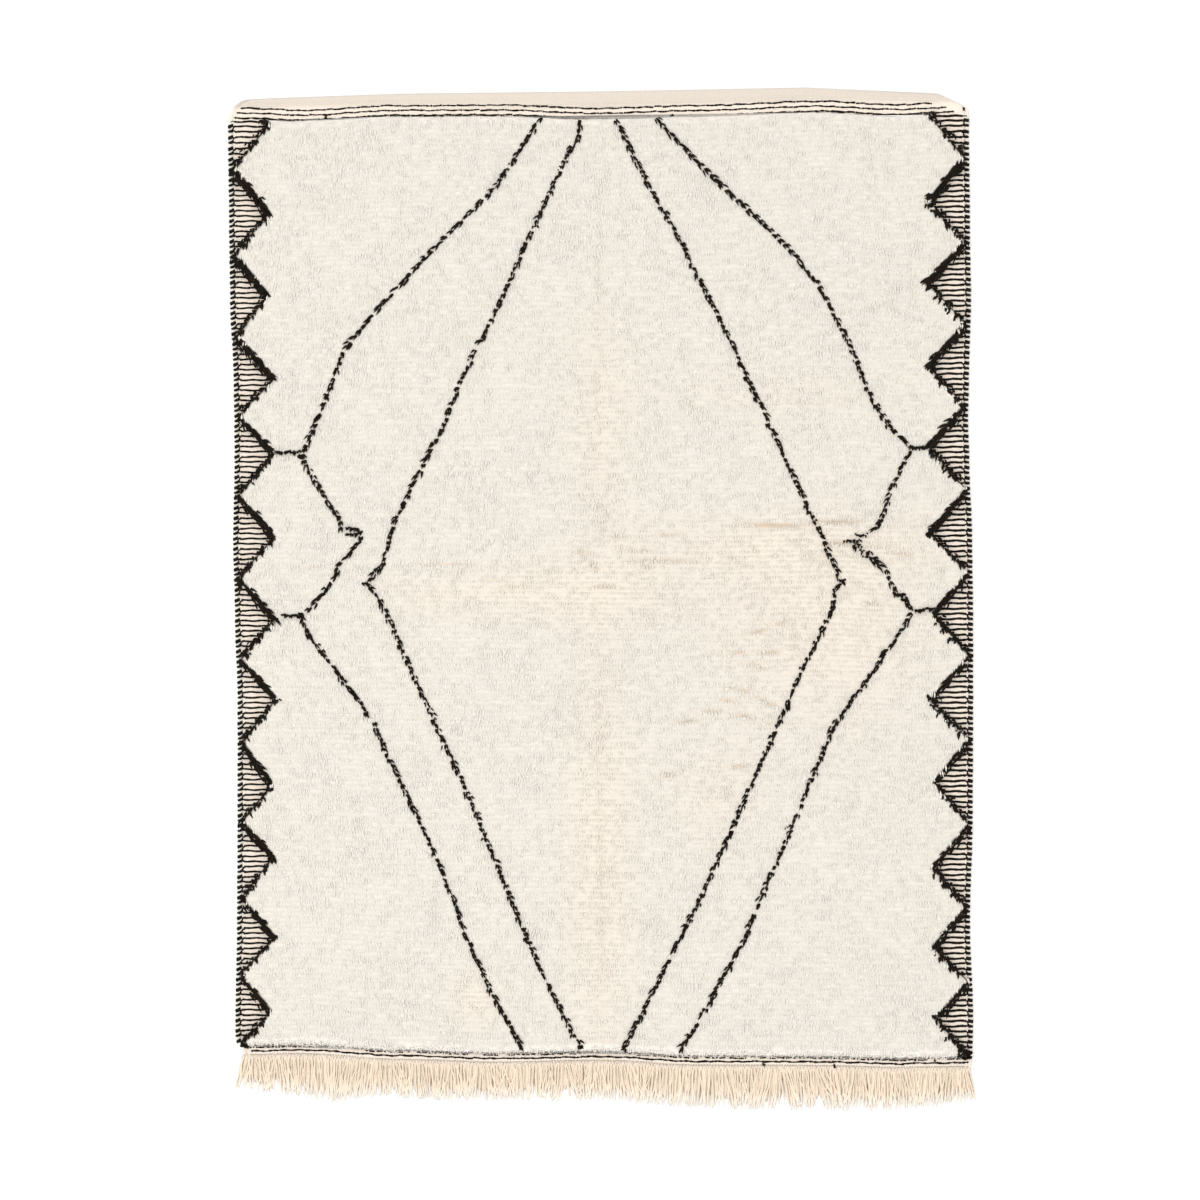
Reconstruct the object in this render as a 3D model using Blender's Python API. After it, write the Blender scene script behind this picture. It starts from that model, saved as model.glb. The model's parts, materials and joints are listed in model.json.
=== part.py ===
"""Beni Ourain rug: a hand-knotted wool rug with flat-woven borders, lying flat on the floor.

Metres, +Z up. +Y points to the end whose edge is turned under, and -Y to the fringed end.
The origin is on the floor under the middle of the rug with its fringe.

Pieces: the rug itself (ground weave, selvedges, turned end and knotted pile are one weaving)
and the fringe of warp ends, whose roots are gathered in a narrow strip along the cloth's edge.
"""

import math
from collections import namedtuple

import bmesh
import bpy
import numpy as np
from mathutils import Vector, geometry

# --- driving dimensions -------------------------------------------------------------------------
RUG_WIDTH = 1.55  # at its widest, over both selvedges
RUG_LENGTH = 2.144  # from the turned edge to the tips of the fringe
WEAVE_THICKNESS = 0.005  # the flat-woven ground
PILE_LENGTH = 0.019  # of the knots above the ground weave
SELVEDGE_WIDTH = 0.014  # the roll of thick warps along each side, and of the turned end
SELVEDGE_THICKNESS = 0.008
BAND_AT_FRINGED_END = 0.020  # flat weave between the pile and the fringe
TOOTH_DEPTH = 0.053  # of the flat-woven triangles, in from the selvedge
PILE_CLEARANCE = 0.0015  # bare weave between the selvedge and the nearest pile
CORNER_CUT = 0.008  # taken off the pile's two corners at the fringe, where the cloth is rounded
PLAY = 0.0003  # gap between separate pieces

# How much the hand-woven cloth draws in from its full width, at a few places along its sides.
Side = namedtuple("Side", "y left right")
SIDES = (
    Side(-0.94, 0.008, 0.002),
    Side(-0.62, 0.006, 0.004),
    Side(-0.28, 0.009, 0.001),
    Side(0.05, 0.001, 0.000),
    Side(0.33, 0.001, 0.007),
    Side(0.60, 0.000, 0.003),
    Side(0.98, 0.000, 0.007),
)

# How far the turned edge falls short of the longest place, and where the cloth's other edge runs.
End = namedtuple("End", "x turned fringed")
ENDS = (
    End(-0.775, 0.026, -0.956),
    End(-0.650, 0.021, -0.956),
    End(-0.460, 0.014, -0.966),
    End(-0.290, 0.006, -0.973),
    End(0.000, 0.008, -0.971),
    End(0.200, 0.003, -0.980),
    End(0.420, 0.000, -0.981),
    End(0.620, 0.006, -0.984),
    End(0.690, 0.014, -0.983),
    End(0.775, 0.044, -0.982),
)

LOW_Y = SIDES[0].y
HIGH_Y = SIDES[-1].y

# Radii of the cloth's corners, which are soft at the turned end.
TURNED_LEFT_RADIUS = 0.052
TURNED_RIGHT_RADIUS = 0.024
FRINGED_RADIUS = 0.022

# Where the flat-woven triangles of the two sides point into the pile, from the turned end down.
Tooth = namedtuple("Tooth", "left right")
TEETH = (
    Tooth(0.990, 1.012),
    Tooth(0.803, 0.828),
    Tooth(0.631, 0.660),
    Tooth(0.460, 0.485),
    Tooth(0.303, 0.318),
    Tooth(0.130, 0.138),
    Tooth(-0.042, -0.029),
    Tooth(-0.209, -0.209),
    Tooth(-0.389, -0.382),
    Tooth(-0.539, -0.560),
    Tooth(-0.706, -0.725),
    Tooth(-0.861, -0.874),
)

# Folds left from storing the rug folded in four: soft troughs where the pile parts. Each runs
# from one place to another on the rug.
Fold = namedtuple("Fold", "x_from y_from x_to y_to depth")
FOLDS = (
    Fold(-0.640, 0.095, 0.700, 0.100, 0.0030),
    Fold(0.090, 0.155, 0.700, 0.160, 0.0040),
    Fold(0.000, -0.960, -0.006, 0.980, 0.0025),
)
FOLD_WIDTH = 0.024

# The pile's uneven top.
LUMP_HEIGHT = 0.0022
LUMP_SPACING = 0.046  # between the points that carry the lumps

# The locks of pile that hang over the flat weave.
LOCKS_PER_FLANK = 3
LOCKS_AT_FRINGED_END = 36
STEPS_AT_TURNED_END = 30  # the pile leans away from this end, so its rim has no locks
LOCK_REACH = 0.013
NOTCH = 0.003  # how far the pile's foot swells out between two locks
SHOULDER = 0.005  # how far the pile's top edge is rounded in

# The fringe.
FRINGE_LOCKS = 120
FRINGE_MARGIN = 0.022  # bare edge at each corner
STRIP_WIDTH = 0.006
STRIP_THICKNESS = 0.0045
LOCK_WIDTH = 0.0072
LOCK_RINGS = 4  # steps along a lock
TIP_WIDTH_SHARE = 0.5
TIP_THICKNESS = 0.002
FRINGE_UNEVENNESS = 0.009  # how much shorter than its neighbours a lock may be

# How far past the cloth's edge the warp ends reach.
Reach = namedtuple("Reach", "x length")
FRINGE_REACH = (
    Reach(-0.775, 0.045),
    Reach(-0.725, 0.070),
    Reach(-0.550, 0.086),
    Reach(-0.460, 0.072),
    Reach(-0.050, 0.072),
    Reach(0.300, 0.084),
    Reach(0.540, 0.088),
    Reach(0.700, 0.086),
    Reach(0.775, 0.070),
)

STATIONS = 26  # points along each edge of the cloth
CORNER_STEPS = 6
SEED = 7

# Profile across the cloth's edge, from the floor up and inwards: the inset from the outline, the
# height where the edge is a roll of warps, and the height where it is the bare cloth.
Ring = namedtuple("Ring", "inset roll bare")
EDGE_RINGS = (
    Ring(0.0020, 0.0, 0.0),
    Ring(0.0, 0.0030, 0.0025),
    Ring(0.0030, 0.94 * SELVEDGE_THICKNESS, 0.9 * WEAVE_THICKNESS),
    Ring(0.0085, SELVEDGE_THICKNESS, WEAVE_THICKNESS),
    Ring(SELVEDGE_WIDTH, WEAVE_THICKNESS, WEAVE_THICKNESS),
)

Material = namedtuple("Material", "name colour roughness")
WOOL = Material("ivory_wool", (0.86, 0.80, 0.71), 0.95)
WARP = Material("undyed_warp", (0.82, 0.71, 0.56), 0.9)


# --- small helpers ------------------------------------------------------------------------------
def column(rows, name):
    """One named column of a table, as an array."""
    return np.array([getattr(row, name) for row in rows])


def eased(rows, key, name, at):
    """A table's column at a place, easing from row to row without overshoot."""
    keys, values = column(rows, key), column(rows, name)
    at = np.clip(at, keys[0], keys[-1])
    row = np.clip(np.searchsorted(keys, at) - 1, 0, len(keys) - 2)
    share = (at - keys[row]) / (keys[row + 1] - keys[row])
    return values[row] + (values[row + 1] - values[row]) * share**2 * (3 - 2 * share)


def between(values, low, high):
    return values[(values > low) & (values < high)]


def left_edge(y):
    return -RUG_WIDTH / 2 + eased(SIDES, "y", "left", y)


def right_edge(y):
    return RUG_WIDTH / 2 - eased(SIDES, "y", "right", y)


def turned_edge(x):
    return RUG_LENGTH / 2 - eased(ENDS, "x", "turned", x)


EDGE_X = np.linspace(-RUG_WIDTH / 2, RUG_WIDTH / 2, STATIONS + 1)
FRINGED_Y = eased(ENDS, "x", "fringed", EDGE_X)


def fringed_edge(x):
    """The cloth's edge at the fringe: straight runs, so that the fringe's strip can follow them."""
    return np.interp(x, EDGE_X, FRINGED_Y)


def distance_to_fold(x, y, fold):
    """How far a place is from a fold's straight run."""
    start = np.array((fold.x_from, fold.y_from))
    run = np.array((fold.x_to, fold.y_to)) - start
    away = np.array((x, y)) - start
    share = np.clip(away @ run / (run @ run), 0, 1)
    return np.linalg.norm(away - share * run)


def pile_top(x, y):
    """Height of the pile at a place: a few waves that don't repeat, less the stored folds."""
    lumps = (
        math.sin(9.1 * x + 4.3 * y + 0.4)
        + math.sin(-6.7 * x + 12.9 * y + 1.9)
        + 0.8 * math.sin(23.0 * x - 17.0 * y)
        + 0.8 * math.sin(31.0 * x + 26.0 * y + 2.2)
    )
    trough = max(f.depth * math.exp(-((distance_to_fold(x, y, f) / FOLD_WIDTH) ** 2)) for f in FOLDS)
    return WEAVE_THICKNESS + PILE_LENGTH + LUMP_HEIGHT * lumps / 2 - trough


# --- plan curves --------------------------------------------------------------------------------
def corner(before, at, after, radius):
    """A rounded corner: a quadratic curve between points a radius away on both sides."""
    start = at + (before - at).normalized() * radius
    end = at + (after - at).normalized() * radius
    curve = []
    for step in range(CORNER_STEPS + 1):
        t = step / CORNER_STEPS
        curve.append(start * (1 - t) ** 2 + at * 2 * t * (1 - t) + end * t**2)
    return curve


def outline():
    """The cloth's outline seen from above, anticlockwise from its fringed left corner.

    Returns the points, and for each how much of the selvedge's roll it has, from 0 to 1.
    """
    ys = np.linspace(-1, 1, 2 * STATIONS)
    left_low = Vector((left_edge(LOW_Y), fringed_edge(left_edge(LOW_Y))))
    right_low = Vector((right_edge(LOW_Y), fringed_edge(right_edge(LOW_Y))))
    right_high = Vector((right_edge(HIGH_Y), turned_edge(right_edge(HIGH_Y))))
    left_high = Vector((left_edge(HIGH_Y), turned_edge(left_edge(HIGH_Y))))
    inner_x = between(EDGE_X, left_low.x + FRINGED_RADIUS, right_low.x - FRINGED_RADIUS)
    top_x = between(EDGE_X, left_high.x + TURNED_LEFT_RADIUS, right_high.x - TURNED_RIGHT_RADIUS)
    right_y = between(ys, right_low.y + FRINGED_RADIUS, right_high.y - TURNED_RIGHT_RADIUS)
    left_y = between(ys, left_low.y + FRINGED_RADIUS, left_high.y - TURNED_LEFT_RADIUS)
    fringed = [Vector((x, fringed_edge(x))) for x in inner_x]
    right = [Vector((right_edge(y), y)) for y in right_y]
    turned = [Vector((x, turned_edge(x))) for x in top_x[::-1]]
    left = [Vector((left_edge(y), y)) for y in left_y[::-1]]
    runs = (
        (corner(left[-1], left_low, fringed[0], FRINGED_RADIUS), 0.5),
        (fringed, 0.0),
        (corner(fringed[-1], right_low, right[0], FRINGED_RADIUS), 0.5),
        (right, 1.0),
        (corner(right[-1], right_high, turned[0], TURNED_RIGHT_RADIUS), 1.0),
        (turned, 1.0),
        (corner(turned[-1], left_high, left[0], TURNED_LEFT_RADIUS), 1.0),
        (left, 1.0),
    )
    points = np.array([point for run, _ in runs for point in run])
    roll = np.array([share for run, share in runs for _ in run])
    return points, roll


def normals(points):
    """Outward unit normals of a closed anticlockwise outline, at its points."""
    along = np.roll(points, -1, axis=0) - np.roll(points, 1, axis=0)
    across = np.stack([along[:, 1], -along[:, 0]], axis=1)
    return across / np.linalg.norm(across, axis=1)[:, None]


def tips_and_roots(side, edge):
    """Where a side's triangles point, and where each meets the next one, from the turned end down.

    The last one ends at the pile's edge towards the fringe, where nothing follows it.
    """
    tips = column(TEETH, side)
    low = fringed_edge(edge(LOW_Y)) + BAND_AT_FRINGED_END
    return list(zip(tips, np.append((tips[:-1] + tips[1:]) / 2, low)))


def pile_corners():
    """Corners of the pile seen from above, anticlockwise from the first tip on the left side."""
    inset = SELVEDGE_WIDTH + PILE_CLEARANCE
    corners = []
    for tip, root in tips_and_roots("left", left_edge):
        corners.append(np.array((left_edge(tip) + inset + TOOTH_DEPTH, tip)))
        corners.append(np.array((left_edge(root) + inset, root)))
    corners[-1][0] += CORNER_CUT
    low_right = len(corners)
    for tip, root in tips_and_roots("right", right_edge)[::-1]:
        corners.append(np.array((right_edge(root) - inset, root)))
        corners.append(np.array((right_edge(tip) - inset - TOOTH_DEPTH, tip)))
    corners[low_right][0] -= CORNER_CUT
    return corners


def pile_rim():
    """The pile's rim seen from above, with its outward normals and which points are tips of locks."""
    corners = pile_corners()
    fringed_run = len(corners) // 2 - 1
    turned_run = len(corners) - 1
    points, tips = [], []
    for run, (start, end) in enumerate(zip(corners, corners[1:] + corners[:1])):
        locks = LOCKS_AT_FRINGED_END if run == fringed_run else LOCKS_PER_FLANK
        steps = STEPS_AT_TURNED_END if run == turned_run else 2 * locks
        for step in range(steps):
            x, y = start + (end - start) * step / steps
            if run == fringed_run:
                y = fringed_edge(x) + BAND_AT_FRINGED_END
            points.append((x, y))
            tips.append(run != turned_run and step % 2 == 1)
    points = np.array(points)
    return points, normals(points), np.array(tips)


# --- the rug ------------------------------------------------------------------------------------
def ring_of(bm, plan, height):
    """A closed ring of vertices at a height, which is one number or one for each point."""
    heights = np.broadcast_to(height, len(plan))
    return [bm.verts.new((x, y, z)) for (x, y), z in zip(plan, heights)]


def band_between(bm, lower, upper):
    """Faces between two rings of the same number of vertices, facing away from their middle."""
    for a, b, c, d in zip(lower, lower[1:] + lower[:1], upper[1:] + upper[:1], upper):
        bm.faces.new((a, b, c, d))


def fill_weave(bm, outer, inner):
    """The flat weave between the cloth's edge and the foot of the pile."""
    loops = [[v.co for v in outer], [v.co for v in inner]]
    vertices = outer + inner
    for triangle in geometry.tessellate_polygon(loops):
        bm.faces.new([vertices[i] for i in triangle])


def points_on_top():
    """Where the pile's top has points: a loose grid, closer together along the folds."""
    xs = np.arange(-RUG_WIDTH / 2, RUG_WIDTH / 2, LUMP_SPACING)
    ys = np.arange(-RUG_LENGTH / 2, RUG_LENGTH / 2, LUMP_SPACING)
    clear = 1.6 * FOLD_WIDTH
    found = [(x, y) for x in xs for y in ys if all(distance_to_fold(x, y, f) > clear for f in FOLDS)]
    for fold in FOLDS:
        start = np.array((fold.x_from, fold.y_from))
        run = np.array((fold.x_to, fold.y_to)) - start
        length = np.linalg.norm(run)
        across = np.array((-run[1], run[0])) / length * FOLD_WIDTH
        others = [other for other in FOLDS if other is not fold]
        for share in np.arange(0, 1, LUMP_SPACING / length):
            for side in (-1, 0, 1):
                x, y = start + share * run + side * across
                if all(distance_to_fold(x, y, f) > 1.1 * FOLD_WIDTH for f in others):
                    found.append((x, y))
    return found


def fill_pile_top(bm, rim):
    """The pile's lumpy top inside its rim, triangulated over the points on top."""
    edge = [Vector(v.co.xy) for v in rim]
    limit = np.array(edge)
    inside = []
    for x, y in points_on_top():
        away = np.linalg.norm(limit - (x, y), axis=1).min()
        if away > LUMP_SPACING / 3 and is_inside(x, y, limit):
            inside.append(Vector((x, y)))
    count = len(edge)
    sides = [(i, (i + 1) % count) for i in range(count)]
    inside_only = 1
    made = geometry.delaunay_2d_cdt(edge + inside, sides, [], inside_only, 1e-7)
    plan, faces, sources = made[0], made[2], made[3]
    vertices = []
    for point, source in zip(plan, sources):
        on_rim = [i for i in source if i < count]
        new = None if on_rim else bm.verts.new((point.x, point.y, pile_top(point.x, point.y)))
        vertices.append(new or rim[on_rim[0]])
    for face in faces:
        bm.faces.new([vertices[i] for i in face])


def is_inside(x, y, polygon):
    """Whether a point lies in a polygon, by counting the edges to its right."""
    a, b = polygon, np.roll(polygon, -1, axis=0)
    spans = (a[:, 1] > y) != (b[:, 1] > y)
    rise = np.where(spans, b[:, 1] - a[:, 1], 1.0)
    crossing = a[:, 0] + (y - a[:, 1]) / rise * (b[:, 0] - a[:, 0])
    return np.count_nonzero(spans & (crossing > x)) % 2 == 1


def rug_mesh():
    """Ground weave, rolled edges and pile in one closed mesh, ring by ring from the floor up."""
    bm = bmesh.new()
    plan, roll = outline()
    outward = normals(plan)
    rings = []
    for ring in EDGE_RINGS:
        heights = ring.bare + (ring.roll - ring.bare) * roll
        rings.append(ring_of(bm, plan - outward * ring.inset, heights))
    bm.faces.new(rings[0][::-1])
    for lower, upper in zip(rings, rings[1:]):
        band_between(bm, lower, upper)

    rim, rim_outward, tips = pile_rim()
    random = np.random.default_rng(SEED)
    reach = np.where(tips, LOCK_REACH * random.uniform(0.75, 1.1, len(tips)), NOTCH)
    droop = np.where(tips, 0.3, 0.55) * PILE_LENGTH
    shoulder = np.where(tips, 0.1, 1.0) * SHOULDER
    top_plan = rim - rim_outward * shoulder[:, None]
    top_height = np.array([pile_top(x, y) for x, y in top_plan]) - np.where(tips, 0.001, 0.003)
    foot = ring_of(bm, rim, WEAVE_THICKNESS)
    belly = ring_of(bm, rim + rim_outward * reach[:, None], WEAVE_THICKNESS + droop)
    top = ring_of(bm, top_plan, top_height)
    fill_weave(bm, rings[-1], foot)
    band_between(bm, foot, belly)
    band_between(bm, belly, top)
    fill_pile_top(bm, top)
    return bm


# --- the fringe ---------------------------------------------------------------------------------
def fringe_locks():
    """Each lock of warp ends: its root's x, its sideways drift at the tip and its length."""
    random = np.random.default_rng(SEED + 1)
    start = left_edge(-1) + FRINGE_MARGIN
    end = right_edge(-1) - FRINGE_MARGIN
    root = np.linspace(start, end, FRINGE_LOCKS)
    drift = 0.006 * np.sin(17 * root + 1) + 0.004 * np.sin(41 * root) + 0.009 * root
    drift = drift + random.uniform(-0.0012, 0.0012, FRINGE_LOCKS)
    reach = eased(FRINGE_REACH, "x", "length", root)
    reach -= random.uniform(0, FRINGE_UNEVENNESS, FRINGE_LOCKS)
    shortfall = (fringed_edge(root) - reach + RUG_LENGTH / 2).min()
    reach += shortfall  # the longest one reaches the rug's stated length
    return root, drift, reach - PLAY - STRIP_WIDTH


def fringe_mesh():
    """The strip along the cloth's edge, and the locks drawn out of its face along the floor."""
    bm = bmesh.new()
    root, drift, length = fringe_locks()
    half = LOCK_WIDTH / 2
    stations = np.concatenate([[root[0] - 2 * half], np.stack([root - half, root + half], 1).ravel()])
    stations = np.append(stations, root[-1] + 2 * half)
    back = fringed_edge(stations) - PLAY
    front = back - STRIP_WIDTH
    sections = []
    for x, y_back, y_front in zip(stations, back, front):
        section = ((y_back, 0), (y_front, 0), (y_front, STRIP_THICKNESS), (y_back, STRIP_THICKNESS))
        sections.append([bm.verts.new((x, y, z)) for y, z in section])
    bm.faces.new(sections[0][::-1])
    bm.faces.new(sections[-1])
    for index, (a, b) in enumerate(zip(sections, sections[1:])):
        bm.faces.new((a[0], a[1], b[1], b[0]))
        bm.faces.new((a[2], a[3], b[3], b[2]))
        bm.faces.new((a[3], a[0], b[0], b[3]))
        is_lock = index % 2 == 1
        if is_lock:
            lock = index // 2
            draw_lock(bm, [a[1], b[1], b[2], a[2]], root[lock], drift[lock], length[lock])
        else:
            bm.faces.new((a[1], a[2], b[2], b[1]))
    return bm


def draw_lock(bm, base, x, drift, length):
    """One four-sided lock that tapers, drifts sideways and lies on the floor all along."""
    y_root = (base[0].co.y + base[1].co.y) / 2
    previous = base
    for step in range(1, LOCK_RINGS + 1):
        s = step / LOCK_RINGS
        half = LOCK_WIDTH / 2 * (1 - (1 - TIP_WIDTH_SHARE) * s)
        middle = x + drift * s**2 * (3 - 2 * s)
        y = y_root - length * s
        top = STRIP_THICKNESS + (TIP_THICKNESS - STRIP_THICKNESS) * math.sqrt(s)
        crown = 0.8 * half
        section = ((-half, 0), (half, 0), (crown, top), (-crown, top))
        ring = [bm.verts.new((middle + across, y, up)) for across, up in section]
        for i in range(4):
            j = (i + 1) % 4
            bm.faces.new((previous[i], ring[i], ring[j], previous[j]))
        previous = ring
    bm.faces.new(previous)


# --- the model ----------------------------------------------------------------------------------
def finish_of(material):
    """A Principled BSDF with the piece's colour and roughness."""
    made = bpy.data.materials.new(material.name)
    made.use_nodes = True
    shader = made.node_tree.nodes["Principled BSDF"]
    shader.inputs["Base Color"].default_value = (*material.colour, 1)
    shader.inputs["Roughness"].default_value = material.roughness
    shader.inputs["Metallic"].default_value = 0.0
    return made


def add_piece(name, bm, material):
    """Puts a finished mesh into the scene as a named piece with its material."""
    bmesh.ops.triangulate(bm, faces=bm.faces[:])
    bmesh.ops.recalc_face_normals(bm, faces=bm.faces[:])
    mesh = bpy.data.meshes.new(name)
    bm.to_mesh(mesh)
    bm.free()
    mesh.shade_smooth()
    mesh.set_sharp_from_angle(angle=math.radians(50))
    mesh.materials.append(finish_of(material))
    piece = bpy.data.objects.new(name, mesh)
    bpy.context.scene.collection.objects.link(piece)
    return piece


def main():
    for old in list(bpy.data.objects):
        bpy.data.objects.remove(old)
    add_piece("rug_body", rug_mesh(), WOOL)
    add_piece("fringe", fringe_mesh(), WARP)


main()
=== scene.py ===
"""Beni Ourain rug: the yarns of its weave, pile, selvedges and fringe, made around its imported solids.

Metres, +Z up, +Y towards the end whose edge is turned under. The cloth is counted in knot rows: row 0
is the black weft next to the fringe, and the rows follow the two ends' unevenness in between.
"""

import json
import math
from collections import namedtuple

import bpy
import numpy as np
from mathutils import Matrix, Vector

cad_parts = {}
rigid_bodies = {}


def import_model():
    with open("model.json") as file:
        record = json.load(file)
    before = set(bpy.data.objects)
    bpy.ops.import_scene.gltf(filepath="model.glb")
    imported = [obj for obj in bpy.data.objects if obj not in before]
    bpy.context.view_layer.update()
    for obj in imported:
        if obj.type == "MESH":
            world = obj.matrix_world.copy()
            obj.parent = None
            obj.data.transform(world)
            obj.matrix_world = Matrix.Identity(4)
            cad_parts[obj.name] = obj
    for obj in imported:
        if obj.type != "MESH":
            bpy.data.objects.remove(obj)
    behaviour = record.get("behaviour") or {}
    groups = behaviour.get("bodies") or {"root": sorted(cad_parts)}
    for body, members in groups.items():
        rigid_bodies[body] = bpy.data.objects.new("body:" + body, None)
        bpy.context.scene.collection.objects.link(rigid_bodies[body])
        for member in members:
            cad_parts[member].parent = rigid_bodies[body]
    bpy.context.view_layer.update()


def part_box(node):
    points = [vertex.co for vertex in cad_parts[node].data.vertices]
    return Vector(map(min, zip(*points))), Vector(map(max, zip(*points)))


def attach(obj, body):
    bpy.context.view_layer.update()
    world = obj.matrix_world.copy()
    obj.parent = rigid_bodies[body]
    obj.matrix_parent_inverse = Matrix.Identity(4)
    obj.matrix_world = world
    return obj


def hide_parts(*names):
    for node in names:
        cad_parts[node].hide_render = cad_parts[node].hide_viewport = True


bl_info = {
    "name": "Beni Ourain rug",
    "version": (1, 0, 0),
    "blender": (4, 5, 0),
    "location": "3D View > Sidebar > Rug",
    "description": "Weaves a knotted wool rug with zigzag borders and a fringe, yarn by yarn",
    "category": "Object",
}

for leftover in list(bpy.data.objects):
    bpy.data.objects.remove(leftover)
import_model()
BODY_LOW, BODY_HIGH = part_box("rug_body")

PIXEL = 0.00209  # metres to one pixel of the photograph
PHOTO_SIDE = 1200
PHOTO_CENTRE_X = -0.003  # the place on the rug that the photograph's middle shows


def table(kind, *rows):
    """A table of rows of one kind, each given as its values in order."""
    return tuple(kind(*row) for row in rows)


# --- the cloth's outline, as its solids have it -------------------------------------------------
Side = namedtuple("Side", "y left right")  # how far the cloth draws in from its full width
SIDES = table(
    Side, (-1.0, 0.011, 0.001), (-0.88, 0.01, -0.002), (-0.67, 0.0133, 0.0045), (-0.46, 0.0144, -0.001),
    (-0.21, 0.0144, -0.002), (-0.04, 0.009, -0.002), (0.125, 0.005, 0.0), (0.29, 0.008, 0.006),
    (0.376, 0.0075, 0.0085), (0.46, 0.006, 0.0068), (0.63, -0.0013, 0.0026), (0.79, -0.0034, 0.0047),
    (0.98, -0.0055, 0.0068),
)
End = namedtuple("End", "x turned fringed")  # the turned edge's shortfall, and the other edge
ENDS = table(
    End, (-0.775, 0.026, -0.956), (-0.65, 0.021, -0.956), (-0.46, 0.014, -0.966), (-0.29, 0.006, -0.973),
    (0.0, 0.008, -0.971), (0.2, 0.006, -0.98), (0.42, 0.0, -0.981), (0.62, 0.006, -0.984),
    (0.69, 0.011, -0.983), (0.775, 0.041, -0.982),
)
FRINGED_RADIUS = 0.012  # of both corners by the fringe
# By side: which way is in, the outermost x, the end's row, its turned corner's radius, and how far
# the corner by the fringe is drawn in as well. Then how much slimmer the zigzags' thick flanks get
# towards the fringe, and how wide their thin ones are.
Edge = namedtuple("Edge", "inward outer end radius cut slimmer thin_share")
EDGES = {
    "left": Edge(1, float(BODY_LOW.x), ENDS[0], 0.052, 0.014, 0.24, 1.0),
    "right": Edge(-1, float(BODY_HIGH.x), ENDS[-1], 0.014, 0.0, 0.36, 1.3),
}
WEAVE_THICKNESS = 0.005
SELVEDGE_WIDTH = 0.0155  # with the bare weave beside it
PILE_INSET = 0.002  # of the pile's outermost knots, which lie on the selvedge

# Where the flat-woven triangles point into the pile, from the turned end down, and how deep.
Tooth = namedtuple("Tooth", "left right left_depth right_depth")
TEETH = table(
    Tooth, (0.99, 1.012, 0.0735, 0.0735), (0.803, 0.828, 0.071, 0.0735), (0.631, 0.66, 0.067, 0.079),
    (0.46, 0.485, 0.0735, 0.0735), (0.303, 0.318, 0.0735, 0.0735), (0.13, 0.138, 0.077, 0.079),
    (-0.042, -0.029, 0.0735, 0.0735), (-0.209, -0.209, 0.071, 0.08), (-0.389, -0.382, 0.062, 0.0714),
    (-0.539, -0.56, 0.066, 0.0714), (-0.706, -0.725, 0.069, 0.068), (-0.861, -0.874, 0.064, 0.069),
)

# Where the first and the last black weft run: the rows in between share out what lies between them.
Weft = namedtuple("Weft", "x low high")
WEFTS = table(
    Weft, (-0.735, -0.943, 1.028), (-0.63, -0.941, 1.024), (-0.421, -0.953, 1.034), (-0.212, -0.959, 1.035),
    (0.0, -0.955, 1.028), (0.2, -0.965, 1.034), (0.457, -0.966, 1.043), (0.624, -0.97, 1.0355),
    (0.68, -0.969, 1.039), (0.75, -0.968, 1.0415),
)
ROWS = 184  # between those two wefts
FIRST_ROOT = 0.085  # from the first triangles' tips up to where they would begin
LAST_ROOTS = {"left": -0.934, "right": -0.957}  # where the last triangles end by the fringe
ROW_PITCH = 0.01076  # from row to row, as counted in the photograph
FIRST_ROW, LAST_ROW = 0.9, 181.9  # of knots, which lean towards the fringe

# The pattern, charted corner by corner on the rug. Lines run from the turned end down.
Corner = namedtuple("Corner", "x y")
INNER_LEFT = table(
    Corner, (-0.045, 0.999), (-0.05, 0.962), (-0.074, 0.922), (-0.115, 0.836), (-0.168, 0.72),
    (-0.214, 0.617), (-0.277, 0.491), (-0.329, 0.366), (-0.427, 0.171), (-0.456, 0.075), (-0.473, 0.058),
    (-0.487, 0.03), (-0.471, 0.016), (-0.452, -0.02), (-0.428, -0.069), (-0.402, -0.136), (-0.287, -0.387),
    (-0.183, -0.637), (-0.131, -0.763), (-0.037, -0.945),
)
INNER_RIGHT = table(
    Corner, (0.031, 0.999), (0.05, 0.96), (0.097, 0.867), (0.146, 0.782), (0.2, 0.679), (0.262, 0.554),
    (0.35, 0.366), (0.438, 0.178), (0.489, 0.065), (0.501, 0.034), (0.485, 0.016), (0.485, -0.013),
    (0.421, -0.136), (0.285, -0.449), (0.2, -0.637), (0.103, -0.826), (0.043, -0.945),
)
OUTER_LEFT_HIGH = table(
    Corner, (-0.133, 0.999), (-0.216, 0.867), (-0.34, 0.742), (-0.457, 0.617), (-0.54, 0.518),
    (-0.57, 0.428), (-0.626, 0.299), (-0.689, 0.303),
)
LEFT_HEART = table(
    Corner, (-0.626, 0.299), (-0.586, 0.23), (-0.546, 0.165), (-0.54, 0.143), (-0.502, 0.136),
    (-0.506, 0.119), (-0.548, 0.071), (-0.557, 0.046), (-0.58, 0.012), (-0.626, -0.035),
)
OUTER_LEFT_LOW = table(
    Corner, (-0.702, -0.037), (-0.626, -0.035), (-0.611, -0.073), (-0.515, -0.199), (-0.473, -0.261),
    (-0.446, -0.324), (-0.356, -0.512), (-0.304, -0.637), (-0.285, -0.7), (-0.225, -0.826), (-0.16, -0.945),
)
OUTER_RIGHT_HIGH = table(
    Corner, (0.122, 0.999), (0.183, 0.93), (0.25, 0.867), (0.384, 0.742), (0.452, 0.658), (0.509, 0.554),
    (0.561, 0.428), (0.597, 0.366), (0.649, 0.318), (0.695, 0.32),
)
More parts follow.
